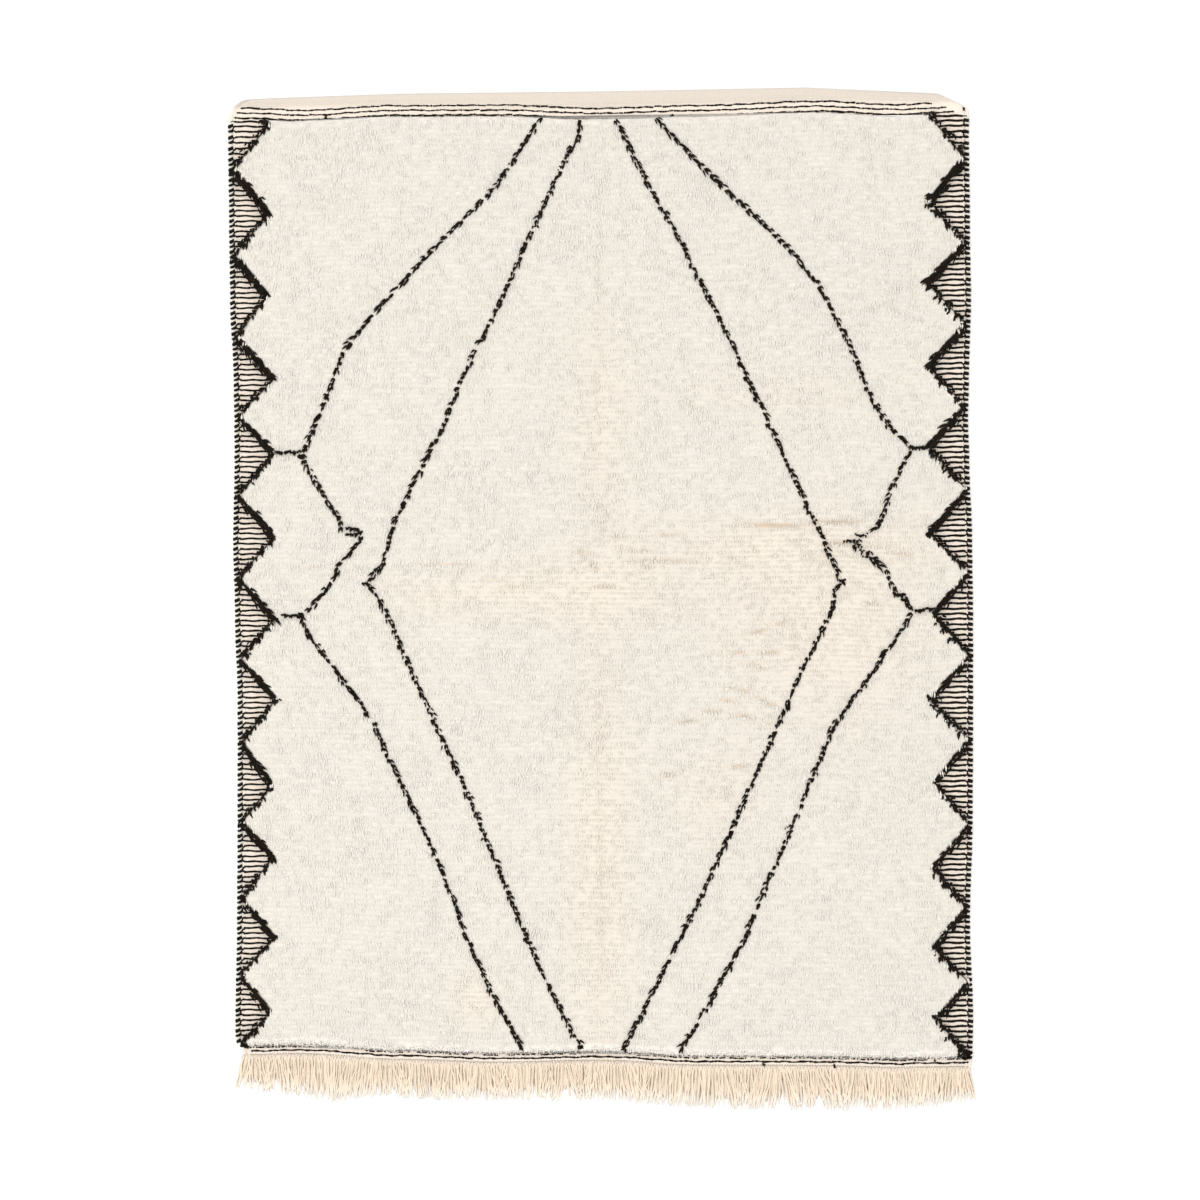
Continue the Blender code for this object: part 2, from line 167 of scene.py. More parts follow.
RIGHT_HEART = table(
    Corner, (0.649, 0.318), (0.609, 0.24), (0.584, 0.17), (0.573, 0.151), (0.548, 0.13), (0.517, 0.118),
    (0.573, 0.077), (0.596, 0.056), (0.615, 0.01), (0.638, -0.004), (0.649, -0.025),
)
OUTER_RIGHT_LOW = table(
    Corner, (0.697, -0.029), (0.649, -0.025), (0.62, -0.073), (0.53, -0.199), (0.486, -0.261),
    (0.432, -0.387), (0.381, -0.512), (0.325, -0.637), (0.302, -0.7), (0.233, -0.826), (0.164, -0.945),
)
LINES = (
    INNER_LEFT, INNER_RIGHT, OUTER_LEFT_HIGH, LEFT_HEART, OUTER_LEFT_LOW, OUTER_RIGHT_HIGH,
    RIGHT_HEART, OUTER_RIGHT_LOW,
)

FOLD_REACH = 0.0055  # how far beside a fold its parting still shows
# Where the pile parts along folds from storing the rug, and how much.
Parting = namedtuple("Parting", "x_from y_from x_to y_to depth")
PARTINGS = table(
    Parting, (-0.053, 0.107, -0.034, 0.094, 0.8), (-0.034, 0.092, -0.003, 0.052, 0.9),
    (-0.02, 0.027, 0.037, 0.027, 0.6), (0.018, 0.132, 0.055, 0.132, 0.6), (0.117, 0.136, 0.165, 0.136, 0.6),
    (0.033, 0.102, 0.11, 0.102, 0.5), (0.051, 0.082, 0.206, 0.082, 0.7), (0.084, 0.069, 0.11, 0.069, 0.7),
    (-0.421, 0.074, -0.254, 0.074, 0.35), (-0.252, 0.042, -0.199, 0.042, 0.3),
    (-0.212, 0.027, -0.156, 0.027, 0.5), (-0.126, 0.061, -0.103, 0.061, 0.5),
    (-0.02, 0.23, 0.007, 0.13, 0.3), (0.279, 0.156, 0.43, 0.156, 1.0), (0.43, 0.162, 0.54, 0.164, 0.95),
    (0.467, 0.117, 0.515, 0.117, 0.95), (0.559, 0.111, 0.632, 0.111, 0.3),
    (0.609, 0.153, 0.699, 0.153, 0.3), (-0.616, 0.071, -0.574, 0.071, 0.4),
    (-0.004, 0.98, -0.012, 0.24, 0.25), (-0.008, 0.01, 0.004, -0.93, 0.25),
    (0.31, -0.07, 0.346, -0.06, 0.85), (0.361, -0.052, 0.382, -0.047, 0.8),
    (0.268, -0.109, 0.3, -0.109, 0.8), (0.325, -0.113, 0.375, -0.107, 0.75),
    (0.304, -0.132, 0.345, -0.142, 0.8), (0.271, -0.182, 0.316, -0.196, 0.85),
    (0.246, -0.207, 0.279, -0.213, 0.8), (0.32, -0.203, 0.363, -0.222, 0.85),
    (0.279, -0.24, 0.322, -0.247, 0.85), (0.346, -0.245, 0.356, -0.263, 0.7),
    (0.16, -0.255, 0.2, -0.251, 0.85), (0.21, -0.232, 0.25, -0.232, 0.7),
    (0.267, -0.347, 0.306, -0.347, 0.9), (0.122, -0.364, 0.154, -0.364, 0.85),
    (0.549, -0.004, 0.578, -0.01, 0.85), (0.603, 0.1, 0.651, 0.092, 0.7),
)

# Places where the pile is worn and creamier: their middle, how far they reach, and how much.
Place = namedtuple("Place", "x y reach_x reach_y share")
WORN = table(
    Place, (0.48, -0.04, 0.21, 0.21, 0.9), (-0.003, -0.55, 0.07, 0.42, 1.0),
    (-0.06, 0.02, 0.27, 0.07, 0.85), (0.36, 0.12, 0.3, 0.06, 0.7), (0.0, 0.38, 0.07, 0.23, 0.65),
    (0.38, 0.44, 0.3, 0.06, 0.4), (0.24, -0.4, 0.1, 0.1, 0.6), (-0.36, 0.01, 0.1, 0.05, 0.4),
    (-0.26, -0.83, 0.05, 0.06, 0.9),
)

# The fringe's reach past the cloth's edge.
Reach = namedtuple("Reach", "x length")
FRINGE_REACH = table(
    Reach, (-0.775, 0.05), (-0.725, 0.072), (-0.55, 0.086), (-0.46, 0.074), (-0.05, 0.074), (0.3, 0.084),
    (0.54, 0.084), (0.7, 0.077), (0.775, 0.066),
)


# --- settings -----------------------------------------------------------------------------------
def length(name, description, default):
    return bpy.props.FloatProperty(
        name=name, description=description, default=default, min=0.0, precision=4, unit="LENGTH"
    )


def colour(name, description, default):
    return bpy.props.FloatVectorProperty(
        name=name, description=description, default=default, size=3, min=0.0, max=1.0, subtype="COLOR"
    )


class RugPile(bpy.types.PropertyGroup):
    """Sizes of the knots and the pile."""

    knot_pitch: length("Knot pitch", "Distance from knot to knot along a row", 0.0105)
    height: length("Height", "Height of the pile above the weave", 0.019)
    lean: length("Lean", "How far a lock's tip lies from its knot, towards the fringe", 0.0165)
    strand_width: length("Strand width", "Width of one of a knot's strands where it is fullest", 0.0034)
    thick_flank: length("Thick flank", "Run of black knots on each zigzag's upper flank", 0.0178)
    thin_flank: length("Thin flank", "Run of black knots on each zigzag's lower flank", 0.0125)


class RugYarns(bpy.types.PropertyGroup):
    """Sizes of the yarns."""

    weft: length("Weft", "Thickness of a black weft", 0.0041)
    warp_pitch: length("Warp pitch", "Distance from warp to warp", 0.0045)
    wrap: length("Wrap", "Thickness of the yarns wrapped round the selvedges", 0.0042)
    strand: length("Strand", "Thickness of a strand of the fringe", 0.0034)
    strand_pitch: length("Strand pitch", "Distance from strand to strand at the cloth's edge", 0.0034)


class RugColours(bpy.types.PropertyGroup):
    """Colours of the wools."""

    ivory: colour("Ivory", "Tips of the pile", (0.797, 0.766, 0.7))
    # The root colour at the foot of the locks is painted shade where they go into the pile; the same colour
    # also tints the pile's soft patches and worn places.
    root: colour("Root", "Foot of the pile, warmer than its tips", (0.802, 0.728, 0.628))
    warp: colour("Warp", "Undyed yarn of the fringe", (0.838, 0.718, 0.57))
    weave: colour("Weave", "Undyed yarn of the flat weave", (0.665, 0.59, 0.51))
    black: colour("Black", "Natural black wool", (0.0085, 0.0062, 0.004))


class RugStage(bpy.types.PropertyGroup):
    """The floor, the lights and the camera."""

    floor: colour("Floor", "Plain pale floor", (0.9, 0.9, 0.9))
    lens: bpy.props.FloatProperty(name="Lens", description="Focal length", default=100.0, unit="CAMERA")


# --- curves and places on the cloth -------------------------------------------------------------
def column(rows, name):
    """One named column of a table, as an array."""
    return np.array([getattr(row, name) for row in rows])


def eased(rows, key, name, at):
    """A table's column at places: 3s^2 - 2s^3 of the way from row to row, where s is linear."""
    keys, values = column(rows, key), column(rows, name)
    at = np.clip(at, keys[0], keys[-1])
    row = np.clip(np.searchsorted(keys, at) - 1, 0, len(keys) - 2)
    share = (at - keys[row]) / (keys[row + 1] - keys[row])
    return values[row] + (values[row + 1] - values[row]) * share**2 * (3 - 2 * share)


def smooth(low, high, value):
    """0 below low, 1 above high, and 3s^2 - 2s^3 between them."""
    share = np.clip((value - low) / (high - low), 0, 1)
    return share * share * (3 - 2 * share)


def turned_edge(x):
    return float(BODY_HIGH.y) - eased(ENDS, "x", "turned", x)


def fringed_edge(x):
    return eased(ENDS, "x", "fringed", x)


def corner_inset(gap, radius):
    """How far a rounded corner draws the side in, at a gap below the end: r (1 - sqrt(gap / r))^2."""
    return radius * (1 - np.sqrt(np.clip(gap / radius, 0, 1))) ** 2


def side_edge(y, side):
    """x of the cloth's side at heights on it: its waves and its two rounded corners draw it in."""
    edge = EDGES[side]
    fringed = y - edge.end.fringed
    inset = eased(SIDES, "y", side, y) + edge.cut * (1 - smooth(0.012, 0.04, fringed))
    inset = inset + corner_inset(float(BODY_HIGH.y) - edge.end.turned - y, edge.radius)
    return edge.outer + edge.inward * (inset + corner_inset(fringed, FRINGED_RADIUS))


def weft_lines(x):
    """Heights on the cloth of the first and the last black weft, at places along them."""
    return eased(WEFTS, "x", "low", x), eased(WEFTS, "x", "high", x)


def row_y(x, row):
    """Height on the cloth of a row of knots, which may be a fraction, at places along it."""
    low, high = weft_lines(x)
    return low + (high - low) * row / ROWS


def zigzag(y, side):
    """How far the pile's border stands in from a side's selvedge, and whether it is a thick flank.

    It is linear between the triangles' tips and the roots halfway between them.
    """
    tips = column(TEETH, side)
    ends = np.array([tips[0] + FIRST_ROOT, LAST_ROOTS[side]])
    roots = np.concatenate([ends[:1], (tips[:-1] + tips[1:]) / 2, ends[1:]])
    places = np.sort(np.concatenate([tips, roots]))
    index = np.clip(np.searchsorted(places, y) - 1, 0, len(places) - 2)
    share = (y - places[index]) / (places[index + 1] - places[index])
    starts_at_root = index % 2 == 0
    deepest = column(TEETH, side + "_depth")[::-1][index // 2]
    depth = deepest * np.clip(np.where(starts_at_root, share, 1 - share), 0, 1)
    return depth, ~starts_at_root


def border_x(y, side, inset=PILE_INSET):
    """x of the pile's border on a side, which keeps an inset from the cloth's edge."""
    return side_edge(y, side) + EDGES[side].inward * (inset + zigzag(y, side)[0])


def border_gaps(x, y):
    """How far places lie inside the pile's left and right borders: positive in the pile.

    Last come whether the borders there are thick flanks, on the left and on the right.
    """
    gaps = [edge.inward * (x - border_x(y, side)) for side, edge in EDGES.items()]
    return *gaps, *(zigzag(y, side)[1] for side in EDGES)


def to_run(x, y, x_from, y_from, x_to, y_to):
    """Distances of places from a straight run, and how far along it they lie, from 0 to 1."""
    run = np.array((x_to - x_from, y_to - y_from))
    away = np.stack([x - x_from, y - y_from], axis=-1)
    share = np.clip(away @ run / (run @ run), 0, 1)
    return np.linalg.norm(away - share[..., None] * run, axis=-1), share


def to_lines(x, y, across, along):
    """Distances from the nearest of the pattern's lines, as shares of what one knot covers.

    A knot covers half its pitch across a steep run and half a row's pitch across a level one. The
    second array is how level the nearest run lies, from 0 to 1. The last two give the run itself,
    as x = foot + slope y.
    """
    nearest, level, foot, slope = np.full(np.shape(x), 9.0), 0 * x, 0 * x, 0 * x
    for line in LINES:
        for a, b in zip(line, line[1:]):
            run = math.hypot(b.x - a.x, b.y - a.y)
            covered = max(across / 2 * abs(b.y - a.y), along / 2 * abs(b.x - a.x)) / run
            away = to_run(x, y, a.x, a.y, b.x, b.y)[0] / covered
            tilt = (b.x - a.x) / (b.y - a.y) if abs(b.y - a.y) > 0.01 else 0.0
            closer = away < nearest
            level = np.where(closer, abs(b.x - a.x) / run, level)
            slope = np.where(closer, tilt, slope)
            foot = np.where(closer, a.x - tilt * a.y, foot)
            nearest = np.minimum(nearest, away)
    return nearest, level, foot, slope


def lumps(x, y):
    """The pile's unevenness, about -1 to 1: a few waves that don't repeat."""
    return (
        np.sin(9.1 * x + 4.3 * y + 0.4)
        + np.sin(-6.7 * x + 12.9 * y + 1.9)
        + 0.8 * np.sin(23.0 * x - 17.0 * y)
        + 0.8 * np.sin(31.0 * x + 26.0 * y + 2.2)
    ) / 2


def parted(x, y):
    """How strongly the pile is parted at places, 0 to 1, and how far its locks fall aside there.

    It is e^-(distance / reach)^2 of the nearest fold, and fades towards both of its ends.
    """
    strongest, aside = np.zeros(np.shape(x)), np.zeros(np.shape(x))
    for fold in PARTINGS:
        distance, share = to_run(x, y, fold.x_from, fold.y_from, fold.x_to, fold.y_to)
        near = np.exp(-((distance / FOLD_REACH) ** 2)) * np.sin(math.pi * np.clip(share, 0.08, 0.92)) ** 0.5
        strongest = np.maximum(strongest, near * fold.depth)
        if abs(fold.y_to - fold.y_from) > abs(fold.x_to - fold.x_from):
            middle = fold.x_from + share * (fold.x_to - fold.x_from)
            aside += near * fold.depth * np.sign(x - middle)
    return strongest, aside


def worn(x, y):
    """How creamy the pile is at places, 0 to 1: share e^-(distance^2) of the nearest worn place."""
    spread = [
        place.share * np.exp(-(((x - place.x) / place.reach_x) ** 2) - ((y - place.y) / place.reach_y) ** 2)
        for place in WORN
    ]
    return np.clip(sum(spread), 0, 1)


# --- meshes: each is points, faces, and a value of each attribute for each point ----------------
UP = (0.0, 0.0, 1.0)


def tubes(paths, across_radii, up_radii, sides, values, turned=0.0, reference=UP):
    """Closed tubes of triangles along many paths at once.

    paths is (paths, points, 3). The first and last points close the ends. At each point between
    them stands a ring, centre + a cos t across + b sin t up, where across is square to the path
    and to the reference direction. values are the attributes, by path, by point or by both.
    """
    count, stations = paths.shape[0], paths.shape[1] - 2
    tangent = np.gradient(paths, axis=1)[:, 1:-1]
    tangent /= np.linalg.norm(tangent, axis=2, keepdims=True)
    across = np.cross(tangent, np.broadcast_to(reference, tangent.shape))
    across /= np.linalg.norm(across, axis=2, keepdims=True)
    up = np.cross(across, tangent)
    turn = np.arange(sides) * 2 * math.pi / sides + turned
    wide = (across_radii[:, :, None] * np.cos(turn))[..., None] * across[:, :, None]
    high = (up_radii[:, :, None] * np.sin(turn))[..., None] * up[:, :, None]
    rings = (paths[:, 1:-1, None] + wide + high).reshape(count, stations * sides, 3)
    points = np.concatenate([paths[:, :1], rings, paths[:, -1:]], axis=1)

    side = np.arange(sides)
    after = (side + 1) % sides
    ring = 1 + np.arange(stations)[:, None] * sides
    a, b = ring[:-1] + side, ring[:-1] + after
    walls = np.stack([a, a + sides, b + sides, a, b + sides, b], axis=-1).reshape(-1, 3)
    first = np.stack([0 * side, 1 + side, 1 + after], axis=-1)
    end = 0 * side + points.shape[1] - 1
    last = np.stack([ring[-1] + side, end, ring[-1] + after], axis=-1)
    one = np.concatenate([first, walls, last])
    faces = one + np.arange(count)[:, None, None] * points.shape[1]
    attributes = {}
    for name, value in values.items():
        value = np.broadcast_to(value, paths.shape[:2])
        middle = np.repeat(value[:, 1:-1], sides, axis=1)
        attributes[name] = np.concatenate([value[:, :1], middle, value[:, -1:]], axis=1).ravel()
    return points.reshape(-1, 3), faces.reshape(-1, 3), attributes


def swept(top, under, values):
    """A closed surface through cross-sections: row by row of x, y and z, each a closed loop.

    top runs over the rug and under back beneath it. values are the top's attributes, 0 beneath.
    """
    x, y, z = (np.hstack(pair) for pair in zip(top, under))
    rows, count = x.shape
    i = np.arange(rows - 1)[:, None] * count
    j = np.arange(count)
    after = (j + 1) % count
    a, b, c, d = i + j, i + after, i + count + after, i + count + j
    walls = np.stack([a, b, c, a, c, d], axis=-1).reshape(-1, 3)
    first = np.stack([0 * j[1:-1], j[2:], j[1:-1]], axis=-1)
    last = first[:, ::-1] + (rows - 1) * count
    faces = np.concatenate([walls, first, last])
    attributes = {
        name: np.hstack([np.broadcast_to(value, top[0].shape), 0 * under[0]]).ravel()
        for name, value in values.items()
    }
    return np.stack([x, y, z], axis=-1).reshape(-1, 3), faces, attributes


def joined(meshes):
    """Several meshes with the same attributes as one."""
    points, faces, attributes = zip(*meshes)
    starts = np.cumsum([0] + [len(some) for some in points[:-1]])
    faces = [some + start for some, start in zip(faces, starts)]
    merged = {name: np.concatenate([some[name] for some in attributes]) for name in attributes[0]}
    return np.concatenate(points), np.concatenate(faces), merged


def add_piece(name, made, material, upright=0.0):
    """Puts a mesh into the scene as a smooth piece that rides on the rug.

    upright is how far its normals are turned towards straight up, as a share, one or for each point.
    """
    points, faces, attributes = made
    mesh = bpy.data.meshes.new(name)
    mesh.vertices.add(len(points))
    mesh.vertices.foreach_set("co", np.asarray(points, np.float32).ravel())
    mesh.loops.add(faces.size)
    mesh.loops.foreach_set("vertex_index", np.asarray(faces, np.int32).ravel())
    mesh.polygons.add(len(faces))
    mesh.polygons.foreach_set("loop_start", np.arange(len(faces), dtype=np.int32) * faces.shape[1])
    for key, values in attributes.items():
        layer = mesh.attributes.new(key, "FLOAT", "POINT")
        layer.data.foreach_set("value", np.asarray(values, np.float32))
    mesh.update(calc_edges=True)
    mesh.shade_smooth()
    if np.any(upright):
        normals = np.empty((len(points), 3), np.float32)
        mesh.vertex_normals.foreach_get("vector", normals.ravel())
        upright = np.broadcast_to(np.asarray(upright, np.float32), len(points))[:, None]
        normals = normals * (1 - upright) + upright * np.array(UP, np.float32)
        normals /= np.linalg.norm(normals, axis=1, keepdims=True)
        mesh.normals_split_custom_set_from_vertices(normals)
    mesh.materials.append(material)
    piece = bpy.data.objects.new(name, mesh)
    bpy.context.scene.collection.objects.link(piece)
    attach(piece, "root")
    return piece


# --- shaders ------------------------------------------------------------------------------------
class Wire:
    """A shader socket whose arithmetic adds Math nodes."""

    def __init__(self, shader, socket):
        self.shader, self.socket = shader, socket

    def _math(self, operation, first, second):
        node = self.shader.node("ShaderNodeMath", {"operation": operation}, {0: first, 1: second})
        return Wire(self.shader, node.outputs[0])

    def __add__(self, other):
        return self._math("ADD", self, other)

    def __rsub__(self, other):
        return self._math("SUBTRACT", other, self)

    def __mul__(self, other):
        return self._math("MULTIPLY", self, other)

    __rmul__ = __mul__


class Shader:
    """A material under construction."""

    def __init__(self, name):
        self.material = bpy.data.materials.new(name)
        self.material.use_nodes = True
        self.tree = self.material.node_tree
        self.surface = self.tree.nodes["Principled BSDF"]

    def node(self, kind, settings=None, inputs=None):
        """Adds a node: its settings first, then the values or links of its sockets."""
        made = self.tree.nodes.new(kind)
        for name, value in (settings or {}).items():
            setattr(made, name, value)
        for key, value in (inputs or {}).items():
            self.feed(made.inputs[key], value)
        return made

    def feed(self, socket, value):
        """Links a wire to a socket, or sets its value. A colour is given without its alpha."""
        if isinstance(value, Wire):
            self.tree.links.new(value.socket, socket)
        else:
            socket.default_value = (*value, 1.0) if socket.type == "RGBA" else value

    def out(self, node, key=0):
        return Wire(self, node.outputs[key])

    def attribute(self, name):
        return self.out(self.node("ShaderNodeAttribute", {"attribute_name": name}), "Fac")

    def place(self, scale=(1.0, 1.0, 1.0)):
        """Object coordinates, stretched by a scale for each axis."""
        where = self.out(self.node("ShaderNodeTexCoord"), "Object")
        return self.out(self.node("ShaderNodeMapping", {}, {"Vector": where, "Scale": scale}))

    def noise(self, scale, detail=2.0, roughness=0.5, stretch=(1.0, 1.0, 1.0)):
        """Noise from 0 to 1, with scale in spots to a metre."""
        inputs = {"Vector": self.place(stretch), "Scale": scale, "Detail": detail, "Roughness": roughness}
        return self.out(self.node("ShaderNodeTexNoise", {}, inputs))

    def mix(self, share, first, second):
        """Two colours mixed: the first at a share of 0, the second at 1."""
        settings = {"data_type": "RGBA", "clamp_factor": True}
        return self.out(self.node("ShaderNodeMix", settings, {0: share, 6: first, 7: second}), 2)

    def layered(self, base, *layers):
        """A colour with others laid over it in turn, each after the share that it covers."""
        for share, colour in layers:
            base = self.mix(share, base, colour)
        return base

    def spread(self, value, low, high):
        """A value's range from low to high as 0 to 1, clamped."""
        inputs = {"Value": value, "From Min": low, "From Max": high}
        return self.out(self.node("ShaderNodeMapRange", {"clamp": True}, inputs))

    def bump(self, height, distance, strength=0.5):
        inputs = {"Height": height, "Distance": distance, "Strength": strength}
        self.feed(self.surface.inputs["Normal"], self.out(self.node("ShaderNodeBump", {}, inputs)))

    def finish(self, colour, roughness, sheen, specular=0.2):
        self.feed(self.surface.inputs["Base Color"], colour)
        self.feed(self.surface.inputs["Roughness"], roughness)
        self.feed(self.surface.inputs["Specular IOR Level"], specular)
        self.feed(self.surface.inputs["Sheen Weight"], sheen)
        return self.material


def tinted(colour, factor):
    return tuple(min(1.0, channel * factor) for channel in colour)


def soft_patches(made):
    """Where the ivory wool turns a little warmer: patches of a hand's width."""
    return made.spread(made.noise(5.0, 3.0), 0.38, 0.66) * 0.1


# Painted light: a paler colour for the locks that hang over the pile's lower end, against their shade.
HANGING_PAINTED_LIGHT = (0.86, 0.81, 0.74)  # of the locks that hang over the pile's lower end
# The bed's colour at the foot of a row's tips, and the darker colour towards its tip ridge, which is
# painted shade.
BED_FOOT, BED_TIPS_PAINTED_SHADE = (0.8, 0.746, 0.668), (0.66, 0.618, 0.55)
# Painted shade in the partings, where the bed also lies lower.
BED_FOLD_PAINTED_SHADE = (0.66, 0.53, 0.4)
# Painted light at both ends of the pile, against the shade on their steep ends.
BED_END_PAINTED_LIGHT = (0.93, 0.88, 0.81)
WORN_BLACK = (0.03, 0.021, 0.013)
PINK_WARP, WARP_TIP, UNDER_WARP = (0.88, 0.71, 0.57), (0.93, 0.88, 0.8), (0.86, 0.73, 0.59)
KNOTTED_WARP = ((0.88, 0.8, 0.71), (0.72, 0.6, 0.49))
WEAVE_HOLLOWS = (0.725, 0.648, 0.556)


def ivory_wool(colours):
    """Ivory pile: pale at its tips, mottled lock by lock and in soft patches. Towards their roots and in
    the partings the locks turn to the root colour, which is painted shade; the locks that hang over the
    pile's lower end are painted paler, as painted light against their shade.
    """
    made = Shader("ivory_wool")
    fibres = made.noise(620.0, 3.0, 0.6, (1.0, 0.26, 0.5))
    tip = made.layered(
        tinted(colours.ivory, 0.965),
        (made.attribute("shade"), colours.ivory),
        (soft_patches(made), tinted(colours.root, 1.01)),
        (made.attribute("worn"), tinted(colours.root, 0.98)),
        (made.spread(fibres, 0.55, 0.75) * 0.18, tinted(colours.root, 0.9)),
    )
    # Painted shade: the locks turn to the root colour towards their roots and, by the parting value, in the
    # partings.
    lit = made.spread(made.attribute("along"), 0.15, 0.75) * (1 - 0.8 * made.attribute("warm"))
    made.bump(fibres, 0.0007)
    # Painted light: the drooping locks at the pile's lower end turn paler, against their shade.
    wool = made.layered(colours.root, (lit, tip), (made.attribute("droop"), HANGING_PAINTED_LIGHT))
    return made.finish(wool, 0.95, 0.1)


def bed_wool(colours):
    """The same wool, seen between the strands: streaked by its fibres, black along the zigzags, with
    painted shade that darkens towards each row's tip ridge and in the partings, and painted light at both
    ends of the pile.
    """
    made = Shader("bed_wool")
    fibres = made.noise(420.0, 3.0, 0.65, (1.0, 0.3, 0.5))
    low = made.attribute("low")
    wool = made.layered(
        BED_FOOT,
        # painted shade: darker towards each row's tip ridge
        (made.attribute("step"), BED_TIPS_PAINTED_SHADE),
        (soft_patches(made), tinted(colours.root, 0.97)),
        (made.attribute("worn"), tinted(colours.root, 0.96)),
        (made.spread(fibres, 0.5, 0.75) * 0.12, tinted(colours.root, 0.9)),
        # painted shade in the partings
        (made.attribute("fold"), BED_FOLD_PAINTED_SHADE),
        # painted light at the pile's ends
        (low * low, BED_END_PAINTED_LIGHT),
        (made.attribute("dark"), tinted(colours.black, 1.2)),
    )
    made.bump(fibres, 0.0009)
    return made.finish(wool, 0.95, 0.1)


def ivory_yarn(colours):
    """Ivory yarn wrapped round the selvedges."""
    made = Shader("ivory_yarn")
    base = made.mix(made.attribute("shade"), tinted(colours.ivory, 0.9), colours.ivory)
    made.bump(made.noise(900.0, 2.0, 0.6), 0.001)
    return made.finish(base, 0.93, 0.2)


def black_wool(colours):
    """Natural black wool: brown-black, with paler worn fibres."""
    made = Shader("black_wool")
    fibres = made.noise(1100.0, 2.0, 0.6, (1.0, 0.3, 0.6))
    wool = made.layered(
        tinted(colours.black, 0.7),
        (made.attribute("shade"), tinted(colours.black, 1.9)),
        (made.spread(fibres, 0.62, 0.8) * 0.3, WORN_BLACK),
    )
    made.bump(fibres, 0.0012, 0.6)
    return made.finish(wool, 0.9, 0.0, specular=0.1)


def warp_yarn(colours):
    """Undyed yarn of the fringe: paler and pinker strands, pale ends, and knots at the cloth."""
    made = Shader("warp_yarn")
    along, shade = made.attribute("along"), made.attribute("shade")
    knotted = made.mix(made.spread(made.noise(420.0, 2.0), 0.4, 0.62), *KNOTTED_WARP)
    yarn = made.layered(
        tinted(colours.warp, 0.94),
        (shade, tinted(colours.warp, 1.08)),
        (made.spread(shade, 0.7, 1.0) * 0.5, PINK_WARP),
        (made.spread(along, 0.6, 1.0) * 0.75, WARP_TIP),
        (1 - made.spread(along, 0.03, 0.14), knotted),
        (made.attribute("under"), UNDER_WARP),
    )
    made.bump(made.noise(700.0, 2.0, 0.6, (1.0, 0.35, 1.0)), 0.001)
    return made.finish(yarn, 0.92, 0.2)


def ground_weave(colours, warp_pitch):
    """Undyed weave: wefts over and under the warps, mottled lighter at random. Its weft ribs are painted
    darker in their hollows and lighter on their crests, as painted shade and light; everywhere but the
    turned end's hem it is painted paler, as painted light against the shade beside the pile.
    """
    made = Shader("ground_weave")
    grain = made.noise(330.0, 3.0, 0.65)
    bands = {"wave_type": "BANDS", "bands_direction": "X"}
    scale = 2 * math.pi / (20 * warp_pitch)  # a band is 2 pi / 20 wide at a scale of 1
    inputs = {"Vector": made.place(), "Scale": scale, "Distortion": 0.6, "Detail": 1.0}
    warps = made.out(made.node("ShaderNodeTexWave", bands, inputs), 1)
    weave = made.layered(
        tinted(colours.weave, 0.9),
        # Painted shade in the weft ribs' hollows and painted light on their crests.
        (made.attribute("relief"), tinted(colours.weave, 1.08)),
        (made.spread(grain, 0.44, 0.6) * 0.75, WEAVE_HOLLOWS),
        # Painted light: everywhere but the turned end's hem the weave is painted paler, against the shade
        # beside the pile.
        (made.attribute("pale"), tinted(colours.weave, 1.3)),
    )
    made.bump(warps * 0.6 + grain * 0.5, 0.0009, 0.7)
    return made.finish(weave, 0.95, 0.1)


def plain_floor(colour):
    made = Shader("plain_floor")
    return made.finish(made.mix(made.noise(3.0, 2.0), tinted(colour, 0.995), colour), 0.9, 0.0)


# --- yarns of the pile --------------------------------------------------------------------------
PILE_FOOT = WEAVE_THICKNESS - 0.001  # the pile's lowest height, a little inside the weave
READ_BELOW = 0.007  # a root's row meets the border this far below itself
OVERHANG = 0.012  # of tips past a thin flank's border
OUTERMOST = 0.615  # the pattern's outer lines are tied over, and wider, from this x outwards
LEVEL = 0.8  # a line's run counts as level from here on, on a scale from 0 to 1
LINE_ROOM = 0.0092  # from a line's middle to the ivory knots beside it
LINE_LEAVES = 0.3  # how much of a knot's distance from its line is left
LEVEL_LEAN, THIN_LEAN, STEEP_LEAN = 0.45, 0.7, 0.78  # shares of the full lean
# How wide the locks spread: on a thin right flank, an outermost tie, a level line and a flank.
SPREADS = (1.25, 1.5, 1.0, 0.9)
LEVEL_RISE, STEEP_RISE = 0.0026, 0.0016  # of a line's knots above the ivory ones
NARROWEST = 0.42  # share of a thick flank's width where its triangle begins
FULL_DEPTH = 0.04  # of the triangle where the flank has its full width
MOST_SLANT = 0.014  # between root and tip of a thick flank's knot
POINT_FROM, POINT_TO = 0.058, 0.071  # depths between which a thick flank draws to its point
POINTED = 0.004  # how far the tips there lie further in and further down


